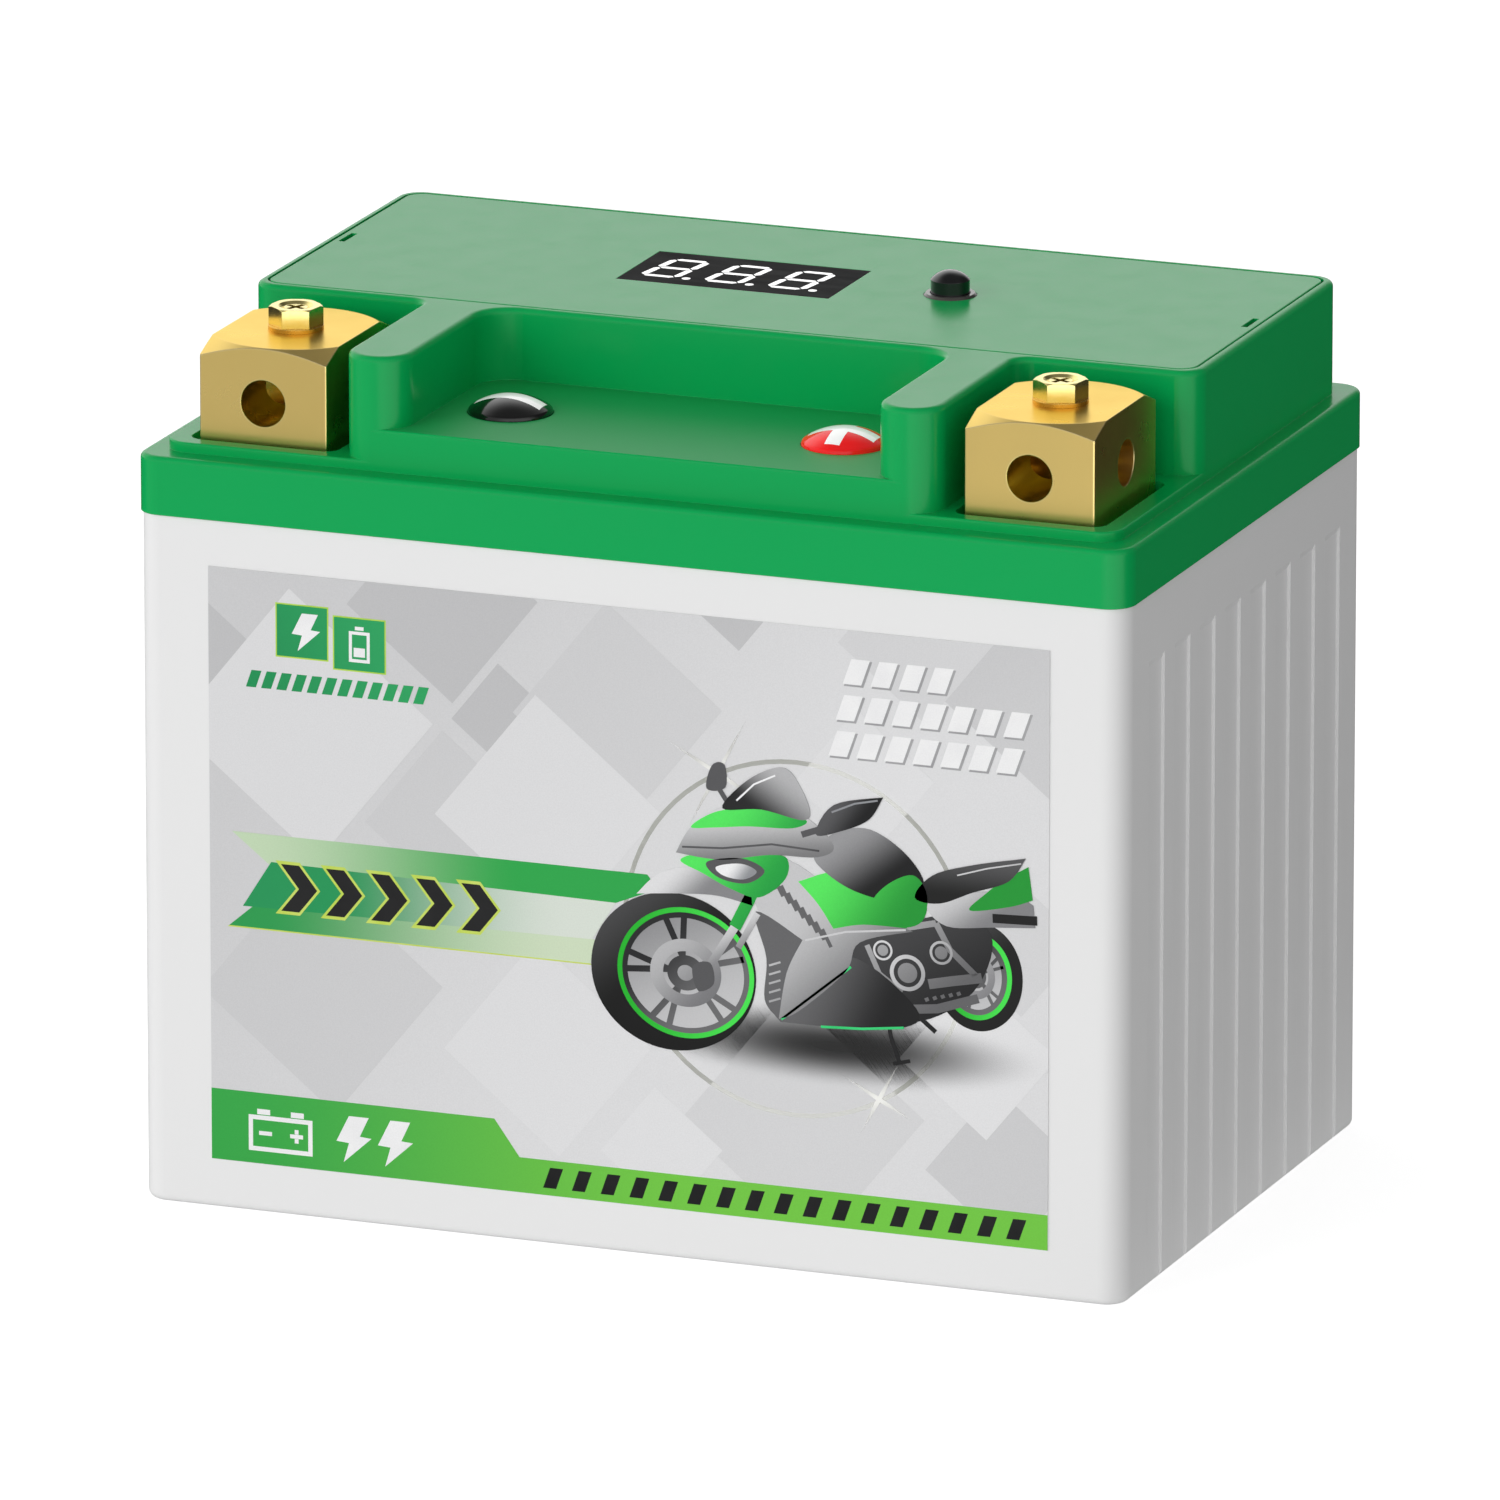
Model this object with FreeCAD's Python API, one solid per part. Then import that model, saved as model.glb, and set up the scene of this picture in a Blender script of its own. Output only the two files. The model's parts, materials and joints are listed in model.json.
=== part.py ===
import FreeCAD, Part
import math
import os

V = FreeCAD.Vector

# Motorcycle battery, lithium type, in millimetres.
# X runs along the long side, Y from the labelled front to the back, Z up.
# The origin is the centre of the case bottom.

# ---- driving dimensions -------------------------------------------------
LID_L = 113.0            # length over the lid rim
LID_W = 75.6             # width over the lid rim
RIM_LOW = 76.6           # lower edge of the lid rim
RIM_TOP = 83.0           # ledge on top of the rim
RIM_CORNER = 2.9
RIM_EDGE = 0.6           # rounding of the rim's top edge

CASE_INSET = 0.27        # the case sits back from the rim by this much
CASE_CORNER = 2.65
CASE_WALL = 2.4
CASE_FLOOR = 2.4
BOTTOM_EDGE = 1.0
TONGUE_T = 1.1           # thin upper lip of the case inside the rim
TONGUE_TOP = 80.0
TONGUE_CORNER = 1.4
CAVITY_CORNER = 1.0      # inner corners of the case and of the hollows in the lid
BEAD_IN = 0.2            # the sealant starts this far out from the case's inner wall

GROOVE_N = 8             # vertical grooves on each end wall
GROOVE_PITCH = 7.87
GROOVE_W = 4.8
GROOVE_DEPTH = 0.36
GROOVE_TOP = 68.35
GROOVE_RAMP = 0.75

DECK_X = 54.25           # half length of the raised part of the lid
DECK_Y = 35.0            # half width of the raised part of the lid
DECK_CORNER = 2.7
PLINTH_TOP = 84.1
DECK_TOP = 95.5
DECK_EDGE = 0.65
PLINTH_EDGE = 0.25
STEP_EDGE = 0.3          # rounding of the recess floor's front edge
WALL_Y = -9.9            # front wall of the raised back block
ARM_IN = 26.7            # inner and outer sides of the two forward arms
ARM_OUT = 33.8
RECESS_FLOOR = 87.6
RECESS_CORNER = 4.0
BAY_CORNER = 2.0         # inner corner of each terminal bay
LID_WALL = 2.0
PLATE_LOW = 80.6         # underside of the lid's main plate

PANEL_X = 53.1           # half length of the inset top panel
PANEL_T = 2.0
PANEL_SEAM = 0.25
PANEL_CORNER = 2.2
PANEL_LEDGE = 1.6
PANEL_Y0 = WALL_Y + DECK_X - PANEL_X
PANEL_Y1 = DECK_Y - DECK_X + PANEL_X
PANEL_MID = (PANEL_Y0 + PANEL_Y1) / 2
PANEL_EDGE = 0.15
PRY_SLOT = (0.7, 3.8, 0.8)   # width, length and depth
PRY_IN = 1.05            # from the panel's end to the middle of a pry slot
LUG_X = 30.0             # lugs under the panel that press into the mouth of the lid
LUG_HALF = 4.0
LUG_T = 1.4
LUG_DEEP = 3.0

TERM_X = 43.6            # centre of each terminal block
TERM_Y = -23.0
TERM_L = 14.6
TERM_D = 18.8
TERM_TOP = 94.6
TERM_LOW = 82.5          # floor of the terminal pocket
TERM_EDGE = 0.15         # rounding of the block's upright edges
TERM_FLAT_R = 9.25       # flat disc left on top by the turned chamfer
TERM_SLOPE = math.radians(27.5)
TERM_CONE_H = 5.0        # height of the cone that trims the block
POCKET_SIDE = 1.2
POCKET_FRONT = 0.7
POCKET_CORNER = 1.6
HOLE_R = 2.55            # M6 thread at its minor diameter
HOLE_Z = 88.5            # front hole
SIDE_HOLE_Z = 88.6       # side hole, drilled from the outer end
SIDE_HOLE_Y = -22.8
HOLE_PAST = 4.4          # each hole ends this far beyond the block's centre
STUD_R = 3.0
STUD_LOW = 74.2
STUD_GAP = 0.3           # gap between the stud and the lid
SEAL_R = 5.2
SEAL_T = 1.1
STRAP_T = 1.0
STRAP_HALF = 6.0
STRAP_BEND_Y = -11.0     # back edge of the strap's upper level
STRAP_FOOT = 10.0
NUT_H = 4.6
NUT_AF = 10.0
NUT_FLANGE_R = 6.4
NUT_FLANGE_T = 1.2

WASHER_R = 3.0
WASHER_BORE = 1.62
WASHER_T = 0.45
HEAD_AF = 5.1
HEAD_H = 2.1
SHANK_R = 1.46           # M3 shank
TAP_R = 1.5
SHANK_LEN = 3.6
SHANK_EDGE = 0.3
HEAD_TURN = math.radians(21.0)
HEAD_BEVEL = math.radians(30.0)
DISH_R = 1.55            # floor of the dish in the head, whose side leans at 45 degrees
DISH_DEEP = 0.35
BOSS_R = 1.3
BOSS_DROP = 0.2          # the boss in the dish stops this far below the head's top
CROSS_HALF = 1.15
CROSS_W = 0.56
CROSS_DEEP = 1.3

MARKER_X = 19.05
MARKER_Y = -22.7
MARKER_R = 4.6
MARKER_RIM = 0.35        # height of the upright rim under the marker's cap
MARKER_RISE = 1.5        # height of the cap itself
MARKER_EDGE = 0.6        # rounding between the cap and the rim
MARKER_SHOULDER = RECESS_FLOOR + MARKER_RIM
MARKER_SINK = 0.5        # depth of the seat in the recess floor
MARKER_GAP = 0.06
SIGN_HALF = 3.75
SIGN_BAR_W = 2.3         # width of the bar that runs along x
SIGN_STEM_W = 1.7        # width of the plus sign's other bar
SIGN_DEEP = 0.45

DISPLAY_X = -6.0
DISPLAY_SIZE = (24.5, 13.0)
WINDOW_T = 1.3
WINDOW_GAP = 0.04
WINDOW_LEDGE = 1.0
HOUSING_HALF = (11.0, 5.2)
HOUSING_WALL = 1.0
RIB_HALF = 0.3
RIB_DROP = 0.75          # the ribs stop this far below the housing's mouth
BUTTON_X = 17.8
BUTTON_R = 2.12
BUTTON_TRAVEL = 0.6
BUTTON_PROUD = 1.7       # height of the cap's shoulder over the panel
BUTTON_DOME = 1.02
BUTTON_LOW = 92.3        # underside of the cap's stem, where it meets the plunger
FLANGE_R = 3.0
FLANGE_T = 0.6
BEZEL_R = 2.85
BEZEL_PROUD = 0.25
BEZEL_SEAT = 0.3         # counterbore in the panel that the collar's flange sits in
BEZEL_LEAN = 0.2
BEZEL_TAIL = 0.5         # the collar's tube comes out below the panel by this much
BEZEL_HOLE_R = BUTTON_R + 0.42
BUTTON_GAP = 0.08
SWITCH_H = 3.4
SWITCH_HALF = 3.0
SWITCH_BORE_R = 1.75
PLUNGER_R = 1.65
SWITCH_FLOOR = 1.2
LEG_X = 2.25
LEG_HALF = (0.35, 0.15)

SEGMENT_DEEP = 0.2       # depth of the display's lit bars
DIGIT_GAP = 7.3          # from one digit to the next
DIGIT_SHIFT = 0.6        # the digits stand left of the window's middle, to leave room for the last point
DIGIT_LEAN = math.tan(math.radians(8))
BAR_WIDE = 3.5
BAR_TALL = 3.65
BAR_T = 0.78
BAR_OUT = 0.12           # the upright bars stand this far outside the level ones
BAR_SHORT = 0.25
POINT_R = 0.48
POINT_OUT = 1.45
POINT_DROP = 0.1

LABEL_X = 47.9
LABEL_Z = (5.6, 71.5)
LABEL_T = 0.12

CELL_R = 13.0
CELL_H = 65.0
CELL_PITCH = 26.7
CELL_LOW = 4.7
CELL_TOP = CELL_LOW + CELL_H
CELL_EDGE = 0.8
BEAD_FROM_END = 2.2
BEAD_H = 0.8
BEAD_DEEP = 0.6
RING_R = 10.5            # shallow ring around the raised contact
RING_DEEP = 0.5
CONTACT_R = 5.0
BRACKET_X = 1.5 * CELL_PITCH + CELL_R + 0.5
BRACKET_Y = 0.5 * CELL_PITCH + CELL_R + 0.9
BRACKET_T = 5.0
BRACKET_FROM_END = 4.0
BRACKET_CORNER = 2.0
STRIP_T = 0.3
STRIP_PAST = (8.0, 7.0)  # a strip runs this far past the middles of its outer cells
STRIP_CORNER = 2.0
WELD_SLOT = (1.0, 10.0)  # slot between the weld spots on each cell
SHEET_T = 0.5            # insulation sheet on the upper strips
SHEET_TOP = CELL_TOP + STRIP_T + SHEET_T

BOARD = (-30.0, 30.0, 0.0, 30.0)
BOARD_LOW = 75.0         # underside of the balance board
BOARD2_LOW = 86.6        # underside of the display board
BOARD_T = 1.6
BOARD2_TOP = BOARD2_LOW + BOARD_T
BOARD_TOP = BOARD_LOW + BOARD_T
BOARD_CORNER = 1.5
BOARD_HOLE_R = 1.6
BOARD_HOLE_IN = 3.0
BOARD2_X = (-20.5, 25.0)
BOARD2_HALF = 9.0
BOARD2_HOLE_R = 1.25
BOARD2_HOLE_X = (-17.5, 22.5)
BOARD2_HOLE_Y = 6.5
BOARD_PAD = (-24.0, 24.0, 3.0, 27.0)
SHEET = (-33.0, 33.0, -24.0, 28.0)
FOAM_X = 50.0
FOAM_Z = (12.0, 60.0)
FOAM_CORNER = 1.5
BASE_PAD = (52.0, 27.0)
CHIP_Y = (10.5, 16.2, 23.0)  # rows of the controller, the bleed resistors and the power switches
CONTROLLER = (8.0, 5.0, 1.2)  # length, width and height, as in the next two
RESISTOR = (3.2, 1.6, 0.6)
POWER_SWITCH = (5.0, 6.0, 1.4)
POWER_SWITCH_X = (-20.0, -10.0, 0.0, 10.0)
HEADER_X = 17.0          # wire headers on the balance board
HEADER_Y = 4.0
HEADER_L = 10.0
HEADER_D = 4.5
HEADER_H = 4.5
HEADER_SHARE = 0.7       # the display wires leave their header at this share of its height
WIRE_R = 0.6
WIRE_BEND = 1.4
SIDE_WIRE = (15.5, 35.0, -2.5)   # start and end in x, and the y that it runs along
MID_WIRE = (18.5, -6.0)
WIRE_HOLE_R = 1.5
DISPLAY_WIRE_X = (-20.0, -17.0)
DISPLAY_WIRE_Y = 13.0

CASE_X = LID_L / 2 - CASE_INSET
CASE_Y = LID_W / 2 - CASE_INSET
IN_X = CASE_X - CASE_WALL
IN_Y = CASE_Y - CASE_WALL
FIT = 0.1                # gap between parts that slide together on assembly
SNUG = 0.05              # gap between parts that are pressed together
OVER = 1.0               # a cutting solid runs this far past the face that it opens


# ---- helpers ------------------------------------------------------------
def box(x0, x1, y0, y1, z0, z1):
    return Part.makeBox(x1 - x0, y1 - y0, z1 - z0, V(x0, y0, z0))


def rod(x, y, z0, z1, r):
    return Part.makeCylinder(r, z1 - z0, V(x, y, z0))


def tube(x, y, z0, z1, inner_r, outer_r):
    return rod(x, y, z0, z1, outer_r).cut(rod(x, y, z0, z1, inner_r))


def outline(corners, z):
    """Closed wire through (x, y, radius) corners, with each corner rounded by its own radius."""
    n = len(corners)
    starts, ends, mids = [], [], []
    for i, (x, y, r) in enumerate(corners):
        p = V(x, y, z)
        a = V(*corners[i - 1][:2], z).sub(p).normalize()
        b = V(*corners[(i + 1) % n][:2], z).sub(p).normalize()
        half = a.getAngle(b) / 2
        reach = r / math.tan(half)
        to_centre = V(a.add(b)).normalize()
        starts.append(p.add(V(a).multiply(reach)))
        ends.append(p.add(V(b).multiply(reach)))
        mids.append(p.add(V(to_centre).multiply(r / math.sin(half) - r)))
    edges = []
    for i in range(n):
        if corners[i][2] > 0:
            edges.append(Part.Arc(starts[i], mids[i], ends[i]).toShape())
        here, there = ends[i], starts[(i + 1) % n]
        if here.distanceToPoint(there) > 1e-6:
            edges.append(Part.makeLine(here, there))
    return Part.Wire(edges)


def prism(corners, z0, z1):
    return Part.Face(outline(corners, z0)).extrude(V(0, 0, z1 - z0))


def slab(x0, x1, y0, y1, z0, z1, r):
    """Upright block with rounded vertical corners."""
    return prism([(x0, y0, r), (x1, y0, r), (x1, y1, r), (x0, y1, r)], z0, z1)


def tray(hx, hy, z0, z1, r):
    return slab(-hx, hx, -hy, hy, z0, z1, r)


def round_edges(shape, radius, wanted):
    """Fillets the edges that the test picks out."""
    edges = [e for e in shape.Edges if wanted(e)]
    return shape.makeFillet(radius, edges)


def level(z, tol=1e-4):
    """Test for edges that lie flat at height z."""
    def test(edge):
        b = edge.BoundBox
        return abs(b.ZMin - z) < tol and abs(b.ZMax - z) < tol
    return test


def upright(edge):
    """Test for edges that stand straight up."""
    b = edge.BoundBox
    return b.ZLength > 1 and b.XLength < 1e-4 and b.YLength < 1e-4


def hexagon(x, y, z0, z1, flats, turn):
    r = flats / 2 / math.cos(math.pi / 6)
    pts = []
    for i in range(7):
        a = turn + i * math.pi / 3
        pts.append(V(x + r * math.cos(a), y + r * math.sin(a), z0))
    return Part.Face(Part.makePolygon(pts)).extrude(V(0, 0, z1 - z0))


def wire_run(points, r, bend):
    """Round wire through the points, with each inner corner bent to a radius."""
    path = []
    here = V(*points[0])
    for i in range(1, len(points) - 1):
        p = V(*points[i])
        a = V(*points[i - 1]).sub(p).normalize()
        b = V(*points[i + 1]).sub(p).normalize()
        half = a.getAngle(b) / 2
        reach = bend / math.tan(half)
        start = p.add(V(a).multiply(reach))
        end = p.add(V(b).multiply(reach))
        mid = p.add(V(a.add(b)).normalize().multiply(bend / math.sin(half) - bend))
        path.append(Part.makeLine(here, start))
        path.append(Part.Arc(start, mid, end).toShape())
        here = end
    path.append(Part.makeLine(here, V(*points[-1])))
    first = V(*points[1]).sub(V(*points[0]))
    ring = Part.Wire(Part.makeCircle(r, V(*points[0]), first))
    return Part.Wire(path).makePipeShell([ring], True, True)


def together(solids):
    return Part.makeCompound(solids)


# ---- case and lid -------------------------------------------------------
def groove(side, y):
    """One shallow end-wall groove that fades out in a short ramp at its top."""
    x0 = side * (CASE_X - GROOVE_DEPTH)
    x1 = side * (CASE_X + OVER)
    z1 = GROOVE_TOP
    out = GROOVE_DEPTH + OVER
    top = z1 + GROOVE_RAMP * out / GROOVE_DEPTH
    pts = [V(x0, y, -OVER), V(x1, y, -OVER), V(x1, y, top), V(x0, y, z1), V(x0, y, -OVER)]
    face = Part.Face(Part.makePolygon(pts))
    return face.extrude(V(0, GROOVE_W, 0))


def make_case():
    body = tray(CASE_X, CASE_Y, 0, RIM_LOW, CASE_CORNER)
    body = round_edges(body, BOTTOM_EDGE, level(0))
    body = body.fuse(tray(IN_X + TONGUE_T, IN_Y + TONGUE_T, RIM_LOW, TONGUE_TOP, TONGUE_CORNER))
    body = body.cut(tray(IN_X, IN_Y, CASE_FLOOR, TONGUE_TOP + OVER, CAVITY_CORNER))
    for side in (-1, 1):
        for i in range(GROOVE_N):
            mid = (i - (GROOVE_N - 1) / 2) * GROOVE_PITCH
            body = body.cut(groove(side, mid - GROOVE_W / 2))
    return body.removeSplitter()


def deck_corners():
    """Plan of the raised lid: back block, two forward arms and the bays between them."""
    half = [(DECK_X, DECK_Y, DECK_CORNER), (-DECK_X, DECK_Y, DECK_CORNER)]
    arm_r = (ARM_OUT - ARM_IN) / 2
    left = [
        (-DECK_X, WALL_Y, DECK_CORNER),
        (-ARM_OUT, WALL_Y, BAY_CORNER),
        (-ARM_OUT, -DECK_Y, arm_r),
        (-ARM_IN, -DECK_Y, arm_r),
        (-ARM_IN, WALL_Y, RECESS_CORNER),
    ]
    right = [(-x, y, r) for x, y, r in reversed(left)]
    return half + left + right


def bay_pocket(side):
    """Rounded pocket that a terminal block stands in, open a little wider than the block."""
    hx = TERM_L / 2 + POCKET_SIDE
    hy = TERM_D / 2 + POCKET_FRONT
    x, y = side * TERM_X, TERM_Y
    return slab(x - hx, x + hx, y - hy, y + hy, TERM_LOW, PLINTH_TOP + OVER, POCKET_CORNER)


def make_lid():
    rim = tray(LID_L / 2, LID_W / 2, RIM_LOW, RIM_TOP, RIM_CORNER)
    rim = round_edges(rim, RIM_EDGE, level(RIM_TOP))
    plinth = tray(DECK_X, DECK_Y, PLATE_LOW, PLINTH_TOP, DECK_CORNER)
    plinth = round_edges(plinth, PLINTH_EDGE, level(PLINTH_TOP))
    deck = prism(deck_corners(), PLATE_LOW, DECK_TOP)
    deck = round_edges(deck, DECK_EDGE, level(DECK_TOP))
    arm_mid = (ARM_IN + ARM_OUT) / 2
    step = box(-arm_mid, arm_mid, -DECK_Y, WALL_Y + OVER, PLATE_LOW, RECESS_FLOOR)
    step = round_edges(step, STEP_EDGE,
                       lambda e: level(RECESS_FLOOR)(e) and e.BoundBox.YMax < -DECK_Y + FIT)
    body = rim.fuse([plinth, deck, step])

    # room inside the rim for the case's tongue
    low = tray(IN_X + TONGUE_T + FIT, IN_Y + TONGUE_T + FIT, RIM_LOW - OVER, PLATE_LOW,
               TONGUE_CORNER + FIT)
    # hollow of the back block, then the hollow under the recess
    inner_x = DECK_X - LID_WALL
    block = slab(-inner_x, inner_x, WALL_Y + LID_WALL, DECK_Y - LID_WALL,
                 PLATE_LOW - OVER, DECK_TOP - PANEL_T - PANEL_LEDGE, CAVITY_CORNER)
    under = slab(-ARM_IN + LID_WALL, ARM_IN - LID_WALL, -DECK_Y + LID_WALL, WALL_Y + LID_WALL + OVER,
                 PLATE_LOW - OVER, RECESS_FLOOR - LID_WALL, CAVITY_CORNER)
    # step that carries the top panel, with the opening inside it
    seat = slab(-PANEL_X - PANEL_SEAM, PANEL_X + PANEL_SEAM, PANEL_Y0 - PANEL_SEAM,
                PANEL_Y1 + PANEL_SEAM, DECK_TOP - PANEL_T, DECK_TOP + OVER, PANEL_CORNER)
    mouth = slab(-PANEL_X + PANEL_LEDGE, PANEL_X - PANEL_LEDGE, PANEL_Y0 + PANEL_LEDGE,
                 PANEL_Y1 - PANEL_LEDGE, DECK_TOP - PANEL_T - PANEL_LEDGE - OVER, DECK_TOP, CAVITY_CORNER)
    body = body.cut([low, block, under, seat, mouth])
    for side in (-1, 1):
        x = side * TERM_X
        stud_hole = rod(x, TERM_Y, PLATE_LOW - OVER, TERM_LOW + OVER, STUD_R + STUD_GAP)
        seal_seat = rod(x, TERM_Y, TERM_LOW - SEAL_T, TERM_LOW + OVER, SEAL_R + FIT)
        marker_seat = rod(side * MARKER_X, MARKER_Y, RECESS_FLOOR - MARKER_SINK,
                          RECESS_FLOOR + OVER, MARKER_R + MARKER_GAP)
        body = body.cut([bay_pocket(side), stud_hole, seal_seat, marker_seat])
    return body.removeSplitter()


def make_lid_seal():
    """Bead of sealant between the top of the case's tongue and the lid's plate."""
    outer = tray(IN_X + TONGUE_T, IN_Y + TONGUE_T, TONGUE_TOP, PLATE_LOW, TONGUE_CORNER)
    return outer.cut(tray(IN_X + BEAD_IN, IN_Y + BEAD_IN, TONGUE_TOP - OVER, PLATE_LOW + OVER,
                          CAVITY_CORNER - BEAD_IN))


def window_cut():
    hx, hy = DISPLAY_SIZE[0] / 2, DISPLAY_SIZE[1] / 2
    x, y = DISPLAY_X, PANEL_MID
    wide = box(x - hx, x + hx, y - hy, y + hy, DECK_TOP - WINDOW_T, DECK_TOP + OVER)
    hx, hy = hx - WINDOW_LEDGE, hy - WINDOW_LEDGE
    deep = box(x - hx, x + hx, y - hy, y + hy, DECK_TOP - PANEL_T - OVER, DECK_TOP)
    return wide.fuse(deep)


def make_display_panel():
    panel = slab(-PANEL_X, PANEL_X, PANEL_Y0, PANEL_Y1, DECK_TOP - PANEL_T, DECK_TOP,
                 PANEL_CORNER - PANEL_SEAM)
    panel = round_edges(panel, PANEL_EDGE, level(DECK_TOP))
    button_hole = rod(BUTTON_X, PANEL_MID, DECK_TOP - PANEL_T - OVER, DECK_TOP + OVER, BEZEL_HOLE_R)
    bezel_seat = rod(BUTTON_X, PANEL_MID, DECK_TOP - BEZEL_SEAT, DECK_TOP + OVER, BEZEL_R + SNUG)
    panel = panel.cut([window_cut(), button_hole, bezel_seat])
    slot_w, slot_l, slot_d = PRY_SLOT
    for side in (-1, 1):
        x = side * (PANEL_X - PRY_IN)
        panel = panel.cut(box(x - slot_w / 2, x + slot_w / 2, PANEL_MID - slot_l / 2,
                              PANEL_MID + slot_l / 2, DECK_TOP - slot_d, DECK_TOP + OVER))
    low = DECK_TOP - PANEL_T
    for x in (-LUG_X, LUG_X):
        front = PANEL_Y0 + PANEL_LEDGE + FIT
        back = PANEL_Y1 - PANEL_LEDGE - FIT
        for y in (front, back - LUG_T):
            panel = panel.fuse(box(x - LUG_HALF, x + LUG_HALF, y, y + LUG_T, low - LUG_DEEP, low))
    return panel.removeSplitter()


# ---- terminals ----------------------------------------------------------
def make_terminal(side):
    """Brass block with a turned top chamfer, crossed M6 holes, a top M3 hole and a stud below."""
    x, y = side * TERM_X, TERM_Y
    hx, hy = TERM_L / 2, TERM_D / 2
    block = box(x - hx, x + hx, y - hy, y + hy, TERM_LOW, TERM_TOP)
    block = round_edges(block, TERM_EDGE, upright)
    wide_r = TERM_FLAT_R + TERM_CONE_H / math.tan(TERM_SLOPE)
    cone = Part.makeCone(wide_r, TERM_FLAT_R, TERM_CONE_H, V(x, y, TERM_TOP - TERM_CONE_H))
    skirt = rod(x, y, TERM_LOW, TERM_TOP - TERM_CONE_H, wide_r)
    block = block.common(cone.fuse(skirt))
    block = block.fuse(rod(x, y, STUD_LOW, TERM_LOW, STUD_R))
    front = Part.makeCylinder(HOLE_R, hy + HOLE_PAST + OVER, V(x, y - hy - OVER, HOLE_Z), V(0, 1, 0))
    start = V(x + side * (hx + OVER), SIDE_HOLE_Y, SIDE_HOLE_Z)
    outer = Part.makeCylinder(HOLE_R, hx + HOLE_PAST + OVER, start, V(-side, 0, 0))
    top = rod(x, y, HOLE_Z, TERM_TOP + OVER, TAP_R)
    return block.cut([front, outer, top])


def make_terminal_seal(side):
    """Square-section sealing ring around the terminal's stud."""
    x = side * TERM_X
    ring = rod(x, TERM_Y, TERM_LOW - SEAL_T, TERM_LOW, SEAL_R)
    return ring.cut(rod(x, TERM_Y, TERM_LOW - SEAL_T - OVER, TERM_LOW + OVER, STUD_R + SNUG))


def make_terminal_nut(side):
    """Flange nut that clamps the strap on the terminal's stud."""
    x, top = side * TERM_X, PLATE_LOW - STRAP_T
    nut = hexagon(x, TERM_Y, top - NUT_H, top, NUT_AF, 0)
    flange = rod(x, TERM_Y, top - NUT_FLANGE_T, top, NUT_FLANGE_R)
    return nut.fuse(flange).cut(rod(x, TERM_Y, STUD_LOW - OVER, PLATE_LOW, STUD_R))


def make_washer(side):
    x = side * TERM_X
    ring = rod(x, TERM_Y, TERM_TOP, TERM_TOP + WASHER_T, WASHER_R)
    return ring.cut(rod(x, TERM_Y, TERM_TOP - OVER, TERM_TOP + OVER, WASHER_BORE))


def screw_head(x, y, z0, z1):
    """Hex head with a bevelled top edge, a dish with a boss in it, and a cross recess."""
    corner_r = HEAD_AF / 2 / math.cos(math.pi / 6)
    drop = corner_r - HEAD_AF / 2 + FIT
    bevel_z = z1 - drop * math.tan(HEAD_BEVEL)
    outer_r = corner_r + 2 * FIT
    height = (drop + 2 * FIT) * math.tan(HEAD_BEVEL)
    cap = Part.makeCone(outer_r, outer_r - drop - 2 * FIT, height, V(x, y, bevel_z))
    head = hexagon(x, y, z0, z1, HEAD_AF, HEAD_TURN)
    head = head.common(rod(x, y, z0, bevel_z, outer_r).fuse(cap))
    dish = Part.makeCone(DISH_R, DISH_R + 2 * DISH_DEEP, 2 * DISH_DEEP, V(x, y, z1 - DISH_DEEP))
    head = head.cut(dish).fuse(rod(x, y, z0, z1 - BOSS_DROP, BOSS_R))
    for turn in (45, 135):
        bar = box(-CROSS_HALF, CROSS_HALF, -CROSS_W / 2, CROSS_W / 2, z1 - CROSS_DEEP, z1 + OVER)
        bar.rotate(V(0, 0, 0), V(0, 0, 1), math.degrees(HEAD_TURN) + turn)
        bar.translate(V(x, y, 0))
        head = head.cut(bar)
    return head


def make_terminal_screw(side):
    """M3 hex-head screw that stands in the block's top hole, on its washer."""
    x, y = side * TERM_X, TERM_Y
    z0 = TERM_TOP + WASHER_T
    shank = rod(x, y, z0 - SHANK_LEN, z0 + FIT, SHANK_R)
    shank = round_edges(shank, SHANK_EDGE, level(z0 - SHANK_LEN))
    return screw_head(x, y, z0, z0 + HEAD_H).fuse(shank).removeSplitter()


# ---- polarity markers ---------------------------------------------------
def ball(x, y, base, r, rise, grow=0.0):
    """Sphere whose cap has the given base radius and rise, made larger or smaller by grow."""
    ball_r = (r * r + rise * rise) / (2 * rise)
    return Part.makeSphere(ball_r + grow, V(x, y, base + rise - ball_r))


def dome(x, y, base, r, rise):
    return ball(x, y, base, r, rise).common(rod(x, y, base, base + rise + OVER, r))


def marker_body(x):
    """A low dome on a short upright rim, with a rounded edge."""
    stem = rod(x, MARKER_Y, RECESS_FLOOR - MARKER_SINK, MARKER_SHOULDER, MARKER_R)
    cap = dome(x, MARKER_Y, MARKER_SHOULDER, MARKER_R, MARKER_RISE)
    return round_edges(stem.fuse(cap).removeSplitter(), MARKER_EDGE, level(MARKER_SHOULDER))


def make_sign(side):
    """Minus sign in the left marker and plus sign in the right one, as deep as SIGN_DEEP."""
    x, y = side * MARKER_X, MARKER_Y
    z0, z1 = RECESS_FLOOR, MARKER_SHOULDER + MARKER_RISE + OVER
    core = ball(x, y, MARKER_SHOULDER, MARKER_R, MARKER_RISE, -SIGN_DEEP)
    sign = box(x - SIGN_HALF, x + SIGN_HALF, y - SIGN_BAR_W / 2, y + SIGN_BAR_W / 2, z0, z1)
    if side > 0:
        stem = box(x - SIGN_STEM_W / 2, x + SIGN_STEM_W / 2, y - SIGN_HALF, y + SIGN_HALF, z0, z1)
        sign = sign.fuse(stem).removeSplitter()
    return sign.common(marker_body(x)).cut(core)


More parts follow.
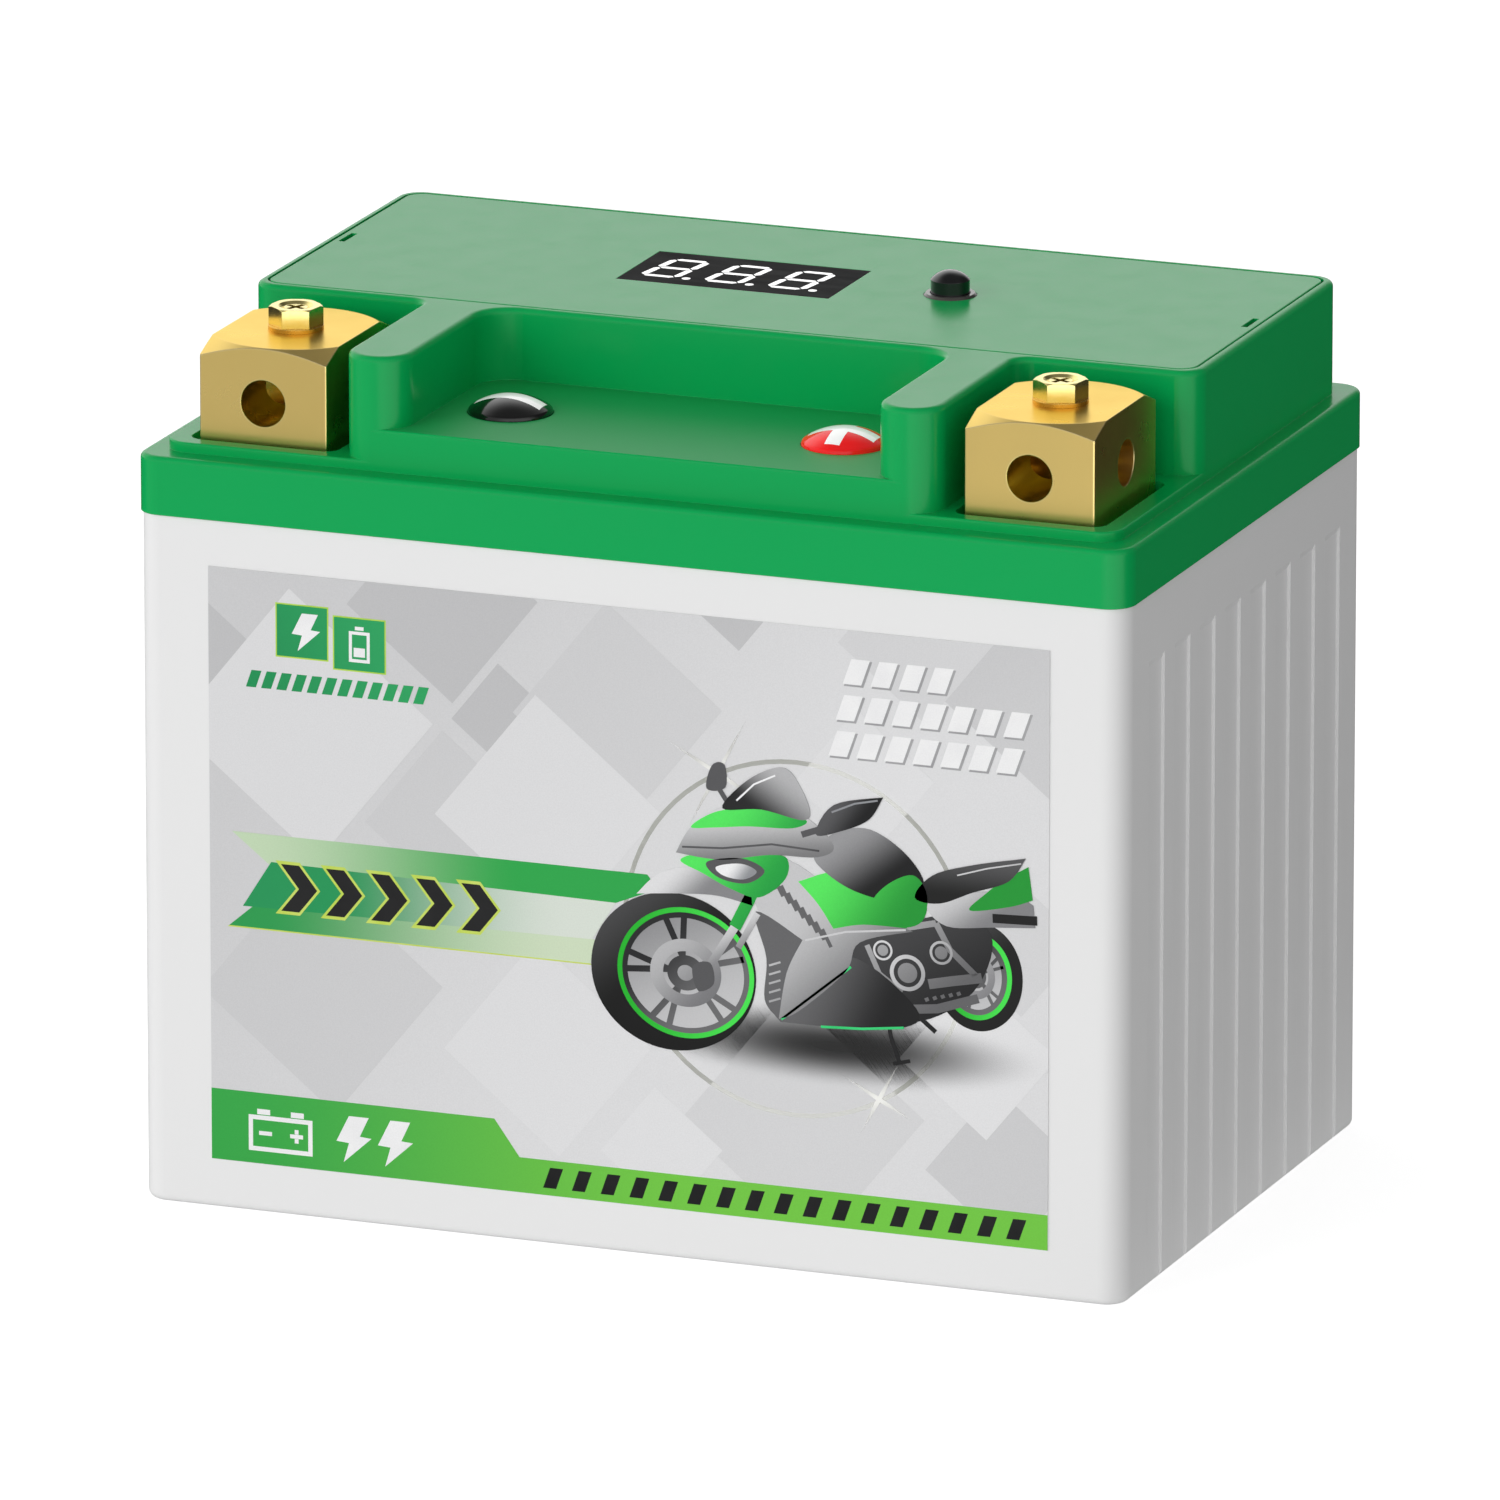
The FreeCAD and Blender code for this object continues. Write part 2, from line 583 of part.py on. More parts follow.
def make_marker(side):
    return marker_body(side * MARKER_X).cut(make_sign(side)).removeSplitter()


# ---- display and button -------------------------------------------------
def segment(x, y, length, across, upright):
    """One pointed display bar, flat in plan and leaning with its digit."""
    h, w = length / 2, across / 2
    pts = [(-h, 0), (-h + w, w), (h - w, w), (h, 0), (h - w, -w), (-h + w, -w), (-h, 0)]
    if upright:
        pts = [(b, a) for a, b in pts]
    z = DECK_TOP - SEGMENT_DEEP
    corners = [V(x + a + (y + b - PANEL_MID) * DIGIT_LEAN, y + b, z) for a, b in pts]
    return Part.Face(Part.makePolygon(corners))


def digit_faces():
    """Three seven-bar digits, each with its decimal point."""
    faces = []
    for i in (-1, 0, 1):
        x = DISPLAY_X + i * DIGIT_GAP - DIGIT_SHIFT
        for row in (-1, 0, 1):
            faces.append(segment(x, PANEL_MID + row * BAR_TALL, BAR_WIDE, BAR_T, False))
        for side_x in (-1, 1):
            for side_y in (-1, 1):
                bar_x = x + side_x * (BAR_WIDE / 2 + BAR_OUT)
                bar_y = PANEL_MID + side_y * BAR_TALL / 2
                faces.append(segment(bar_x, bar_y, BAR_TALL - BAR_SHORT, BAR_T, True))
        point_x = x + BAR_WIDE / 2 + POINT_OUT - BAR_TALL * DIGIT_LEAN
        point_y = PANEL_MID - BAR_TALL - POINT_DROP
        ring = Part.makeCircle(POINT_R, V(point_x, point_y, DECK_TOP - SEGMENT_DEEP))
        faces.append(Part.Face(Part.Wire(ring)))
    return faces


def make_display_segments():
    return together([f.extrude(V(0, 0, SEGMENT_DEEP)) for f in digit_faces()])


def make_display_window():
    hx, hy = DISPLAY_SIZE[0] / 2 - WINDOW_GAP, DISPLAY_SIZE[1] / 2 - WINDOW_GAP
    x, y = DISPLAY_X, PANEL_MID
    plate = box(x - hx, x + hx, y - hy, y + hy, DECK_TOP - WINDOW_T, DECK_TOP)
    return plate.cut([f.extrude(V(0, 0, OVER)) for f in digit_faces()])


def make_display_housing():
    """Open-topped tray under the window, with a rib between the digits."""
    x, y = DISPLAY_X, PANEL_MID
    hx, hy = HOUSING_HALF
    top = DECK_TOP - WINDOW_T - SNUG
    shell = box(x - hx, x + hx, y - hy, y + hy, BOARD2_TOP, top)
    hx, hy = hx - HOUSING_WALL, hy - HOUSING_WALL
    hollow = box(x - hx, x + hx, y - hy, y + hy, BOARD2_TOP + HOUSING_WALL, DECK_TOP)
    ribs = []
    for side in (-1, 1):
        mid = x + side * DIGIT_GAP / 2
        ribs.append(box(mid - RIB_HALF, mid + RIB_HALF, y - hy, y + hy, BOARD2_TOP, top - RIB_DROP))
    return shell.cut(hollow).fuse(ribs).removeSplitter()


def make_display_board():
    """Circuit board below the display and the button, with four screw holes."""
    board = slab(*BOARD2_X, PANEL_MID - BOARD2_HALF, PANEL_MID + BOARD2_HALF, BOARD2_LOW, BOARD2_TOP,
                 BOARD_CORNER)
    for x in BOARD2_HOLE_X:
        for y in (-BOARD2_HOLE_Y, BOARD2_HOLE_Y):
            board = board.cut(rod(x, PANEL_MID + y, BOARD2_LOW - OVER, BOARD2_TOP + OVER, BOARD2_HOLE_R))
    return board


def make_switch_body():
    """Push switch under the button: a bored block on four short legs."""
    x, y, z0 = BUTTON_X, PANEL_MID, BOARD2_TOP
    half = SWITCH_HALF
    body = box(x - half, x + half, y - half, y + half, z0, z0 + SWITCH_H)
    body = body.cut(rod(x, y, z0 + SWITCH_FLOOR, z0 + SWITCH_H + OVER, SWITCH_BORE_R))
    leg_w, leg_t = LEG_HALF
    for leg_x in (x - LEG_X, x + LEG_X):
        for leg_y in (y - half - leg_t, y + half + leg_t):
            body = body.fuse(box(leg_x - leg_w, leg_x + leg_w, leg_y - leg_t, leg_y + leg_t,
                                 z0, z0 + SWITCH_FLOOR))
    return body.removeSplitter()


def make_switch_plunger():
    """Stem of the switch, with its press travel left free below it."""
    low = BOARD2_TOP + SWITCH_FLOOR + BUTTON_TRAVEL + FIT
    return rod(BUTTON_X, PANEL_MID, low, BUTTON_LOW, PLUNGER_R)


def make_push_button():
    """Domed cap on a stem, with a flange below the panel that keeps it in."""
    x, y = BUTTON_X, PANEL_MID
    shoulder = DECK_TOP + BUTTON_PROUD
    stem = rod(x, y, BUTTON_LOW, shoulder, BUTTON_R)
    cap = dome(x, y, shoulder, BUTTON_R, BUTTON_DOME)
    flange = rod(x, y, BUTTON_LOW, BUTTON_LOW + FLANGE_T, FLANGE_R)
    return stem.fuse([cap, flange]).removeSplitter()


def make_button_bezel():
    """Thin collar pressed into the panel around the button."""
    x, y = BUTTON_X, PANEL_MID
    seat = DECK_TOP - BEZEL_SEAT
    disc = rod(x, y, seat, DECK_TOP, BEZEL_R)
    lip = Part.makeCone(BEZEL_R, BEZEL_R - BEZEL_LEAN, BEZEL_PROUD, V(x, y, DECK_TOP))
    low = DECK_TOP - PANEL_T - BEZEL_TAIL
    tail = rod(x, y, low, seat, BEZEL_HOLE_R)
    bore = rod(x, y, low - OVER, DECK_TOP + OVER, BUTTON_R + BUTTON_GAP)
    return tail.fuse([disc, lip]).cut(bore).removeSplitter()


# ---- label --------------------------------------------------------------
def make_front_label():
    y = -CASE_Y
    return box(-LABEL_X, LABEL_X, y - LABEL_T, y, LABEL_Z[0], LABEL_Z[1])


# ---- cell pack ----------------------------------------------------------
def cell_place(column, row):
    return (column - 1.5) * CELL_PITCH, (row - 0.5) * CELL_PITCH


def make_cell(column, row):
    """Round cell with a beaded neck and a raised contact. The contact is up on the outer columns."""
    x, y = cell_place(column, row)
    can = rod(x, y, CELL_LOW, CELL_TOP, CELL_R)
    can = round_edges(can, CELL_EDGE, lambda e: level(CELL_LOW)(e) or level(CELL_TOP)(e))
    up = column in (1, 3)
    bead = CELL_TOP - BEAD_FROM_END - BEAD_H if up else CELL_LOW + BEAD_FROM_END
    end = CELL_TOP - RING_DEEP if up else CELL_LOW
    neck = tube(x, y, bead, bead + BEAD_H, CELL_R - BEAD_DEEP, CELL_R + OVER)
    return can.cut([neck, tube(x, y, end, end + RING_DEEP, CONTACT_R, RING_R)])


def make_cell_bracket(z0):
    plate = tray(BRACKET_X, BRACKET_Y, z0, z0 + BRACKET_T, BRACKET_CORNER)
    for column in range(4):
        for row in range(2):
            x, y = cell_place(column, row)
            plate = plate.cut(rod(x, y, z0 - OVER, z0 + BRACKET_T + OVER, CELL_R + FIT))
    return plate


def make_strip(first, last, z):
    """Nickel strip across the cells of columns first to last."""
    past_x, past_y = STRIP_PAST
    slot_w, slot_l = WELD_SLOT
    x0 = cell_place(first, 0)[0] - past_x
    x1 = cell_place(last, 0)[0] + past_x
    half = CELL_PITCH / 2 + past_y
    strip = slab(x0, x1, -half, half, z, z + STRIP_T, STRIP_CORNER)
    for column in range(first, last + 1):
        for row in range(2):
            x, y = cell_place(column, row)
            strip = strip.cut(box(x - slot_w / 2, x + slot_w / 2, y - slot_l / 2, y + slot_l / 2,
                                  z - OVER, z + OVER))
    return strip


def make_strap(side):
    """Copper strap from a terminal stud back and down to the strip on the end cells."""
    x0, x1 = side * TERM_X - STRAP_HALF, side * TERM_X + STRAP_HALF
    y1 = STRAP_BEND_Y
    top = PLATE_LOW
    low = CELL_TOP + STRIP_T
    flat = slab(x0, x1, TERM_Y - STRAP_HALF, y1, top - STRAP_T, top, STRAP_T)
    drop = box(x0, x1, y1 - 2 * STRAP_T, y1 - STRAP_T, low, top - STRAP_T / 2)
    foot = box(x0, x1, y1 - 2 * STRAP_T, y1 - 2 * STRAP_T + STRAP_FOOT, low, low + STRAP_T)
    strap = flat.fuse([drop, foot]).removeSplitter()
    return strap.cut(rod(side * TERM_X, TERM_Y, low, top + OVER, STUD_R + FIT))


def make_balance_board():
    x0, x1, y0, y1 = BOARD
    board = slab(x0, x1, y0, y1, BOARD_LOW, BOARD_TOP, BOARD_CORNER)
    for x in (x0 + BOARD_HOLE_IN, x1 - BOARD_HOLE_IN):
        for y in (y0 + BOARD_HOLE_IN, y1 - BOARD_HOLE_IN):
            board = board.cut(rod(x, y, BOARD_LOW - OVER, BOARD_TOP + OVER, BOARD_HOLE_R))
    return board


def on_board(x, y, length, width, height):
    """Block that stands on the balance board, from its middle."""
    return box(x - length / 2, x + length / 2, y - width / 2, y + width / 2, BOARD_TOP, BOARD_TOP + height)


def make_board_components():
    """Four power switches, four bleed resistors, a controller and two wire headers."""
    parts = [on_board(0.0, CHIP_Y[0], *CONTROLLER)]
    for x in POWER_SWITCH_X:
        parts.append(on_board(x, CHIP_Y[1], *RESISTOR))
        parts.append(on_board(x, CHIP_Y[2], *POWER_SWITCH))
    for x in (-HEADER_X, HEADER_X):
        parts.append(on_board(x, HEADER_Y + HEADER_D / 2, HEADER_L, HEADER_D, HEADER_H))
    return together(parts)


def make_board_pad():
    """Foam block that carries the balance board over the insulation sheet."""
    return box(*BOARD_PAD, SHEET_TOP, BOARD_LOW)


def make_insulation_sheet():
    """Sheet between the strips and the board, with a hole for the middle sense wire."""
    sheet = box(*SHEET, CELL_TOP + STRIP_T, SHEET_TOP)
    return sheet.cut(rod(*MID_WIRE, CELL_TOP, SHEET_TOP + OVER, WIRE_HOLE_R))


def make_balance_wires():
    """Sense wires from the two board headers down to the three upper strips."""
    z_top = BOARD_TOP + HEADER_H / 2
    z_low = CELL_TOP + STRIP_T
    near, far, y = SIDE_WIRE
    wires = []
    for side in (-1, 1):
        x0, x1 = side * near, side * far
        wires.append(wire_run([(x0, HEADER_Y, z_top), (x0, y, z_top), (x1, y, z_top), (x1, y, z_low)],
                              WIRE_R, WIRE_BEND))
    x, y = MID_WIRE
    wires.append(wire_run([(x, HEADER_Y, z_top), (x, y, z_top), (x, y, z_low)], WIRE_R, WIRE_BEND))
    return together(wires)


def make_display_wires():
    """Two wires from a balance board header up to the display board."""
    z = BOARD_TOP + HEADER_H * HEADER_SHARE
    y0, y1 = HEADER_Y + HEADER_D, DISPLAY_WIRE_Y
    wires = []
    for x in DISPLAY_WIRE_X:
        wires.append(wire_run([(x, y0, z), (x, y1, z), (x, y1, BOARD2_LOW)], WIRE_R, WIRE_BEND))
    return together(wires)


def make_foam(y0, y1):
    """Foam sheet between the cells and a long wall of the case."""
    return slab(-FOAM_X, FOAM_X, y0, y1, *FOAM_Z, FOAM_CORNER)


def make_base_pad():
    """Foam under the cells and their lower strips."""
    x, y = BASE_PAD
    return box(-x, x, -y, y, CASE_FLOOR, CELL_LOW - STRIP_T)


# ---- assembly -----------------------------------------------------------
def make_parts():
    parts = {
        "case": make_case(),
        "lid": make_lid(),
        "lid_seal": make_lid_seal(),
        "display_panel": make_display_panel(),
        "display_window": make_display_window(),
        "display_segments": make_display_segments(),
        "display_housing": make_display_housing(),
        "display_board": make_display_board(),
        "display_wires": make_display_wires(),
        "switch_body": make_switch_body(),
        "switch_plunger": make_switch_plunger(),
        "push_button": make_push_button(),
        "button_bezel": make_button_bezel(),
        "front_label": make_front_label(),
        "cell_bracket_lower": make_cell_bracket(CELL_LOW + BRACKET_FROM_END),
        "cell_bracket_upper": make_cell_bracket(CELL_TOP - BRACKET_FROM_END - BRACKET_T),
        "negative_strip": make_strip(0, 0, CELL_TOP),
        "middle_strip": make_strip(1, 2, CELL_TOP),
        "positive_strip": make_strip(3, 3, CELL_TOP),
        "lower_strip_left": make_strip(0, 1, CELL_LOW - STRIP_T),
        "lower_strip_right": make_strip(2, 3, CELL_LOW - STRIP_T),
        "balance_board": make_balance_board(),
        "board_components": make_board_components(),
        "board_pad": make_board_pad(),
        "insulation_sheet": make_insulation_sheet(),
        "balance_wires": make_balance_wires(),
        "front_foam": make_foam(-IN_Y + FIT, -BRACKET_Y - FIT),
        "rear_foam": make_foam(BRACKET_Y + FIT, IN_Y - FIT),
        "base_pad": make_base_pad(),
    }
    for name, side in (("negative", -1), ("positive", 1)):
        parts[name + "_terminal"] = make_terminal(side)
        parts[name + "_seal"] = make_terminal_seal(side)
        parts[name + "_nut"] = make_terminal_nut(side)
        parts[name + "_strap"] = make_strap(side)
        parts[name + "_washer"] = make_washer(side)
        parts[name + "_screw"] = make_terminal_screw(side)
        parts[name + "_marker"] = make_marker(side)
    parts["minus_sign"] = make_sign(-1)
    parts["plus_sign"] = make_sign(1)
    for column in range(4):
        for row in range(2):
            place = "front" if row == 0 else "rear"
            parts["cell_%d_%s" % (column + 1, place)] = make_cell(column, row)
    return parts


def main():
    os.makedirs("parts", exist_ok=True)
    for name, shape in make_parts().items():
        shape.exportStep("parts/" + name + ".step")


main()
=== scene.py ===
import json
import math

import bmesh
import bpy
from mathutils import Matrix, Vector


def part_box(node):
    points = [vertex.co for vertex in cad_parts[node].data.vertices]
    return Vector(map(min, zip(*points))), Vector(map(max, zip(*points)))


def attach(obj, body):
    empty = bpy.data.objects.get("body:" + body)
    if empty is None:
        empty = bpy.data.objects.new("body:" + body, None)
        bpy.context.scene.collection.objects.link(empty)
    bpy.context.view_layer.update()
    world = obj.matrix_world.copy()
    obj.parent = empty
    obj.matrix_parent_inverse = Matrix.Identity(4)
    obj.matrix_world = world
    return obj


# Motorcycle battery: looks, printed label art, studio and camera.
# Lengths are in metres, except in the label art, which is laid out in millimetres on the front
# face, with x to the right of the middle and z up from the case bottom.

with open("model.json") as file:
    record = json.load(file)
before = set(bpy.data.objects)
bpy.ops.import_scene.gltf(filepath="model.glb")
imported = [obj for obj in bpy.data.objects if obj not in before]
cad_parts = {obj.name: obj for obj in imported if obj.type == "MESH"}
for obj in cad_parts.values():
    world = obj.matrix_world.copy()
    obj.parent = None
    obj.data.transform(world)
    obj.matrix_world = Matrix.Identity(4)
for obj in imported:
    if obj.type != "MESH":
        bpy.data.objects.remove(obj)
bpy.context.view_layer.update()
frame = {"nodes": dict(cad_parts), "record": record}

ROOT = "battery"
MM = 0.001

# ---- camera and light ----------------------------------------------------
CAMERA_AZIMUTH = math.radians(21.10)
CAMERA_ELEVATION = math.radians(15.46)
CAMERA_DISTANCE = 2.3475
CAMERA_LENS = 519.8
CAMERA_AIM_RIGHT = -0.0004
CAMERA_AIM_UP = 0.0445

# SKY and FLOOR_GLOW light the object, by direction. SHINE and FLOOR_SHINE are how bright the same
# sky and floor look in reflections. The LOW and HIGH values are heights on the unit sphere.
SKY_ZENITH = 0.44
SKY_FRONT = 2.60
SKY_BACK = 1.35
SKY_RIGHT_SHARE = 0.33
SKY_LOW = 0.30
SKY_HIGH = 0.62
SHINE_LOW = 0.58
SHINE_HIGH = 0.95
SHINE_BACK = 1.50
SHINE_FRONT_LEFT = 0.60
SHINE_FRONT_RIGHT = 1.15
SHINE_SIDE = 0.10
SHINE_ABOVE = 0.20
FLOOR_LIFT = 0.62
FLOOR_GLOW = 0.64
FLOOR_SIDE_SHARE = 0.45
FLOOR_BACK_SHARE = 0.65
FLOOR_SHINE_LEFT = 0.55
FLOOR_SHINE_RIGHT = 1.80
FLOOR_SHINE_BACK = 0.03
FLOOR_HALF = 20.0

# ---- paint colours, as linear light --------------------------------------
LEAF_GREEN = (0.001, 0.395, 0.092)
CASE_GREY = (0.850, 0.850, 0.850)
BRASS = (0.900, 0.670, 0.225)
GILT = (1.000, 0.860, 0.340)
INK_BLACK = (0.010, 0.010, 0.011)
PLASTIC_IOR = 1.31
SATIN_IOR = 1.60
SATIN_ROUGH = 0.50


# ---- node helpers --------------------------------------------------------
class Nodes:
    """Short calls for building one material's node tree."""

    def __init__(self, name, world=False):
        made = bpy.data.worlds.new(name) if world else bpy.data.materials.new(name)
        made.use_nodes = True
        self.material = made
        self.tree = made.node_tree
        self.tree.nodes.clear()
        self.output = self.tree.nodes.new("ShaderNodeOutput" + ("World" if world else "Material"))
        coords = self.tree.nodes.new("ShaderNodeTexCoord")
        self.place = coords.outputs["Generated" if world else "Object"]

    def link(self, source, target):
        self.tree.links.new(source, target)

    def put(self, value, target):
        """Links a socket, or sets a plain value."""
        if isinstance(value, bpy.types.NodeSocket):
            self.link(value, target)
        elif isinstance(value, tuple) and target.type == "RGBA":
            target.default_value = (*value, 1.0)
        else:
            target.default_value = value

    def noise(self, scale, detail=3.0, place=None):
        node = self.tree.nodes.new("ShaderNodeTexNoise")
        self.link(place or self.place, node.inputs["Vector"])
        node.inputs["Scale"].default_value = scale
        node.inputs["Detail"].default_value = detail
        node.inputs["Roughness"].default_value = 0.55
        return node.outputs["Fac"]

    def cells(self, scale):
        node = self.tree.nodes.new("ShaderNodeTexVoronoi")
        self.link(self.place, node.inputs["Vector"])
        node.inputs["Scale"].default_value = scale
        return node.outputs["Distance"]

    def stretch(self, scale):
        node = self.tree.nodes.new("ShaderNodeMapping")
        self.link(self.place, node.inputs["Vector"])
        node.inputs["Scale"].default_value = scale
        return node.outputs["Vector"]

    def spread(self, value, low, high, from_low=0.0, from_high=1.0, smooth=False):
        """Maps a value from one range to another, clamped."""
        node = self.tree.nodes.new("ShaderNodeMapRange")
        node.interpolation_type = "SMOOTHSTEP" if smooth else "LINEAR"
        self.link(value, node.inputs["Value"])
        node.inputs["From Min"].default_value = from_low
        node.inputs["From Max"].default_value = from_high
        node.inputs["To Min"].default_value = low
        node.inputs["To Max"].default_value = high
        return node.outputs["Result"]

    def blend(self, amount, first, second):
        node = self.tree.nodes.new("ShaderNodeMix")
        node.data_type = "RGBA"
        self.put(amount, node.inputs["Factor"])
        self.put(first, node.inputs["A"])
        self.put(second, node.inputs["B"])
        return node.outputs["Result"]

    def math(self, kind, first, second=0.0):
        node = self.tree.nodes.new("ShaderNodeMath")
        node.operation = kind
        self.put(first, node.inputs[0])
        self.put(second, node.inputs[1])
        return node.outputs["Value"]

    def mix(self, amount, first, second):
        """Blend of two plain values."""
        return self.math("ADD", first, self.math("MULTIPLY", amount, self.math("SUBTRACT", second, first)))

    def ray(self, kind):
        return self.tree.nodes.new("ShaderNodeLightPath").outputs[kind]

    def axis(self, name, place=None):
        node = self.tree.nodes.new("ShaderNodeSeparateXYZ")
        self.link(place or self.place, node.inputs["Vector"])
        return node.outputs[name]

    def normal(self):
        return self.tree.nodes.new("ShaderNodeNewGeometry").outputs["Normal"]

    def rounded_normal(self, radius):
        node = self.tree.nodes.new("ShaderNodeBevel")
        node.samples = 6
        node.inputs["Radius"].default_value = radius
        return node.outputs["Normal"]

    def edge_mask(self, radius):
        """Near 1 on a convex or concave edge within the radius, and 0 on flat ground."""
        dot = self.tree.nodes.new("ShaderNodeVectorMath")
        dot.operation = "DOT_PRODUCT"
        self.link(self.rounded_normal(radius), dot.inputs[0])
        self.link(self.normal(), dot.inputs[1])
        return self.spread(dot.outputs["Value"], 1.0, 0.0, 0.90, 0.999)

    def square(self, value):
        return self.math("MULTIPLY", value, value)

    def radius(self, across, upward):
        """Distance from the middle, from its two parts."""
        return self.math("POWER", self.math("ADD", self.square(across), self.square(upward)), 0.5)

    def bump(self, height, distance, rounding=0.0):
        """Normal with fine relief, and with edges that look rounded when a rounding is given."""
        node = self.tree.nodes.new("ShaderNodeBump")
        node.inputs["Distance"].default_value = distance
        self.link(height, node.inputs["Height"])
        if rounding:
            self.link(self.rounded_normal(rounding), node.inputs["Normal"])
        return node.outputs["Normal"]

    def surface(self, **settings):
        shader = self.tree.nodes.new("ShaderNodeBsdfPrincipled")
        for key, value in settings.items():
            self.put(value, shader.inputs[key.replace("_", " ")])
        self.link(shader.outputs["BSDF"], self.output.inputs["Surface"])
        return self.material


def shade(colour, factor):
    return tuple(c * factor for c in colour)


# ---- materials -----------------------------------------------------------
MARKER_SINK = 0.0005     # depth of the markers' seats in the recess floor
RECESS_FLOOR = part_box("negative_marker")[0].z + MARKER_SINK
FRONT_THREAD = next(m for m in frame["record"]["mounts"] if m["name"] == "positive_front_thread")


def moulded_plastic(name, colour, rough, variation=0.04, edge_highlight=0.16, rounding=0.00012, satin_at=None):
    """Injection-moulded plastic: fine skin and faint flow marks, with a painted highlight that lightens the
    edges.

    Faces that look up at the height satin_at get a satin finish."""
    n = Nodes(name)
    flow = n.noise(22.0, 2.0)
    skin = n.noise(5200.0, 2.0)
    cloud = n.noise(240.0, 3.0)
    # Painted highlight: along edges the colour is lightened towards a paler copy of itself.
    edge_highlight_mask = n.edge_mask(0.0005)
    tone = n.spread(flow, 1.0 - variation, 1.0 + variation, 0.3, 0.7)
    base = n.blend(tone, shade(colour, 0.96), colour)
    pale = tuple(min(1.0, c * 1.15 + 0.01) for c in colour)
    base = n.blend(n.math("MULTIPLY", edge_highlight_mask, edge_highlight), base, pale)
    roughness = n.spread(cloud, rough - 0.035, rough + 0.045, 0.25, 0.75)
    density = PLASTIC_IOR
    if satin_at is not None:
        away = n.math("ABSOLUTE", n.math("SUBTRACT", n.axis("Z"), satin_at))
        at_height = n.spread(away, 1.0, 0.0, 0.0002, 0.0004)
        looks_up = n.spread(n.axis("Z", n.normal()), 0.0, 1.0, 0.90, 0.97)
        satin = n.math("MULTIPLY", at_height, looks_up)
        roughness = n.mix(satin, roughness, SATIN_ROUGH)
        density = n.mix(satin, PLASTIC_IOR, SATIN_IOR)
    return n.surface(Base_Color=base, Roughness=roughness, IOR=density,
                     Normal=n.bump(skin, 0.000004, rounding))


def glossy_plastic(name, colour, rough=0.08, coat=0.5, glow=0.0):
    """Polished plastic with the faintest ripple and smudges. Any glow is painted light: emission that
    brightens a part which is no lamp.
    """
    n = Nodes(name)
    smudge = n.noise(420.0, 4.0)
    ripple = n.noise(900.0, 1.0)
    base = n.blend(n.spread(smudge, 0.0, 1.0, 0.35, 0.7), colour, shade(colour, 0.86))
    roughness = n.spread(smudge, rough, rough + 0.09, 0.4, 0.75)
    return n.surface(Base_Color=base, Roughness=roughness, IOR=1.5, Coat_Weight=coat, Coat_Roughness=0.05,
                     Emission_Color=colour, Emission_Strength=glow,
                     Normal=n.bump(ripple, 0.000002, 0.00008))


def turned_brass():
    """Milled sides and a turned top: fine tool lines and slight tarnish, with a painted highlight on the
    edges and painted shade in the bores.
    """
    n = Nodes("turned_brass")
    tarnish = n.noise(170.0, 4.0)
    lines = n.noise(1.0, 2.0, place=n.stretch((900.0, 900.0, 14000.0)))
    grain = n.noise(7000.0, 2.0)
    edge_highlight_mask = n.edge_mask(0.00035)
    base = n.blend(n.spread(tarnish, 0.0, 0.12, 0.35, 0.75), BRASS, (0.76, 0.50, 0.15))
    # Painted highlight: the colour brightens along edges.
    base = n.blend(n.math("MULTIPLY", edge_highlight_mask, 0.55), base, (1.0, 0.86, 0.50))
    # Painted shade: inside the threaded bores the colour turns darker.
    across = n.math("SUBTRACT", n.math("ABSOLUTE", n.axis("X")), FRONT_THREAD["pos_m"][0])
    upward = n.math("SUBTRACT", n.axis("Z"), FRONT_THREAD["pos_m"][2])
    bore_r = FRONT_THREAD["dims"]["r_mm"] * MM
    bore_shade = n.spread(n.radius(across, upward), 1.0, 0.0, bore_r + 0.00002, bore_r + 0.00008)
    base = n.blend(bore_shade, base, (0.62, 0.52, 0.10))
    roughness = n.spread(tarnish, 0.26, 0.34, 0.3, 0.7)
    height = n.math("ADD", n.math("MULTIPLY", lines, 0.6), n.math("MULTIPLY", grain, 0.4))
    return n.surface(Base_Color=base, Metallic=1.0, Roughness=roughness, Specular_Tint=(1.0, 0.86, 0.55),
                     Normal=n.bump(height, 0.0000022, 0.00016))


def gilt_metal(name, colour, rough):
    """Bright plated metal on the small screws and washers."""
    n = Nodes(name)
    patch = n.noise(900.0, 3.0)
    scratch = n.noise(1.0, 2.0, place=n.stretch((16000.0, 2400.0, 2400.0)))
    base = n.blend(n.spread(patch, 0.0, 0.2, 0.35, 0.7), colour, shade(colour, 0.85))
    roughness = n.spread(patch, rough, rough + 0.10, 0.3, 0.7)
    return n.surface(Base_Color=base, Metallic=1.0, Roughness=roughness,
                     Normal=n.bump(scratch, 0.0000018, 0.00010))


def plain_metal(name, colour, rough):
    """Rolled strip or plated steel inside the case."""
    n = Nodes(name)
    rolled = n.noise(1.0, 3.0, place=n.stretch((60.0, 5000.0, 5000.0)))
    base = n.blend(rolled, shade(colour, 0.85), colour)
    return n.surface(Base_Color=base, Metallic=1.0, Roughness=n.spread(rolled, rough, rough + 0.15),
                     Normal=n.bump(rolled, 0.000002))


def foam(name, colour):
    """Closed-cell foam."""
    n = Nodes(name)
    pores = n.cells(1400.0)
    base = n.blend(pores, shade(colour, 0.6), colour)
    return n.surface(Base_Color=base, Roughness=0.95, Normal=n.bump(pores, 0.00012))


def rubber(name, colour):
    n = Nodes(name)
    skin = n.noise(2600.0, 4.0)
    base = n.blend(skin, shade(colour, 0.8), colour)
    return n.surface(Base_Color=base, Roughness=n.spread(skin, 0.55, 0.8), Normal=n.bump(skin, 0.00001))


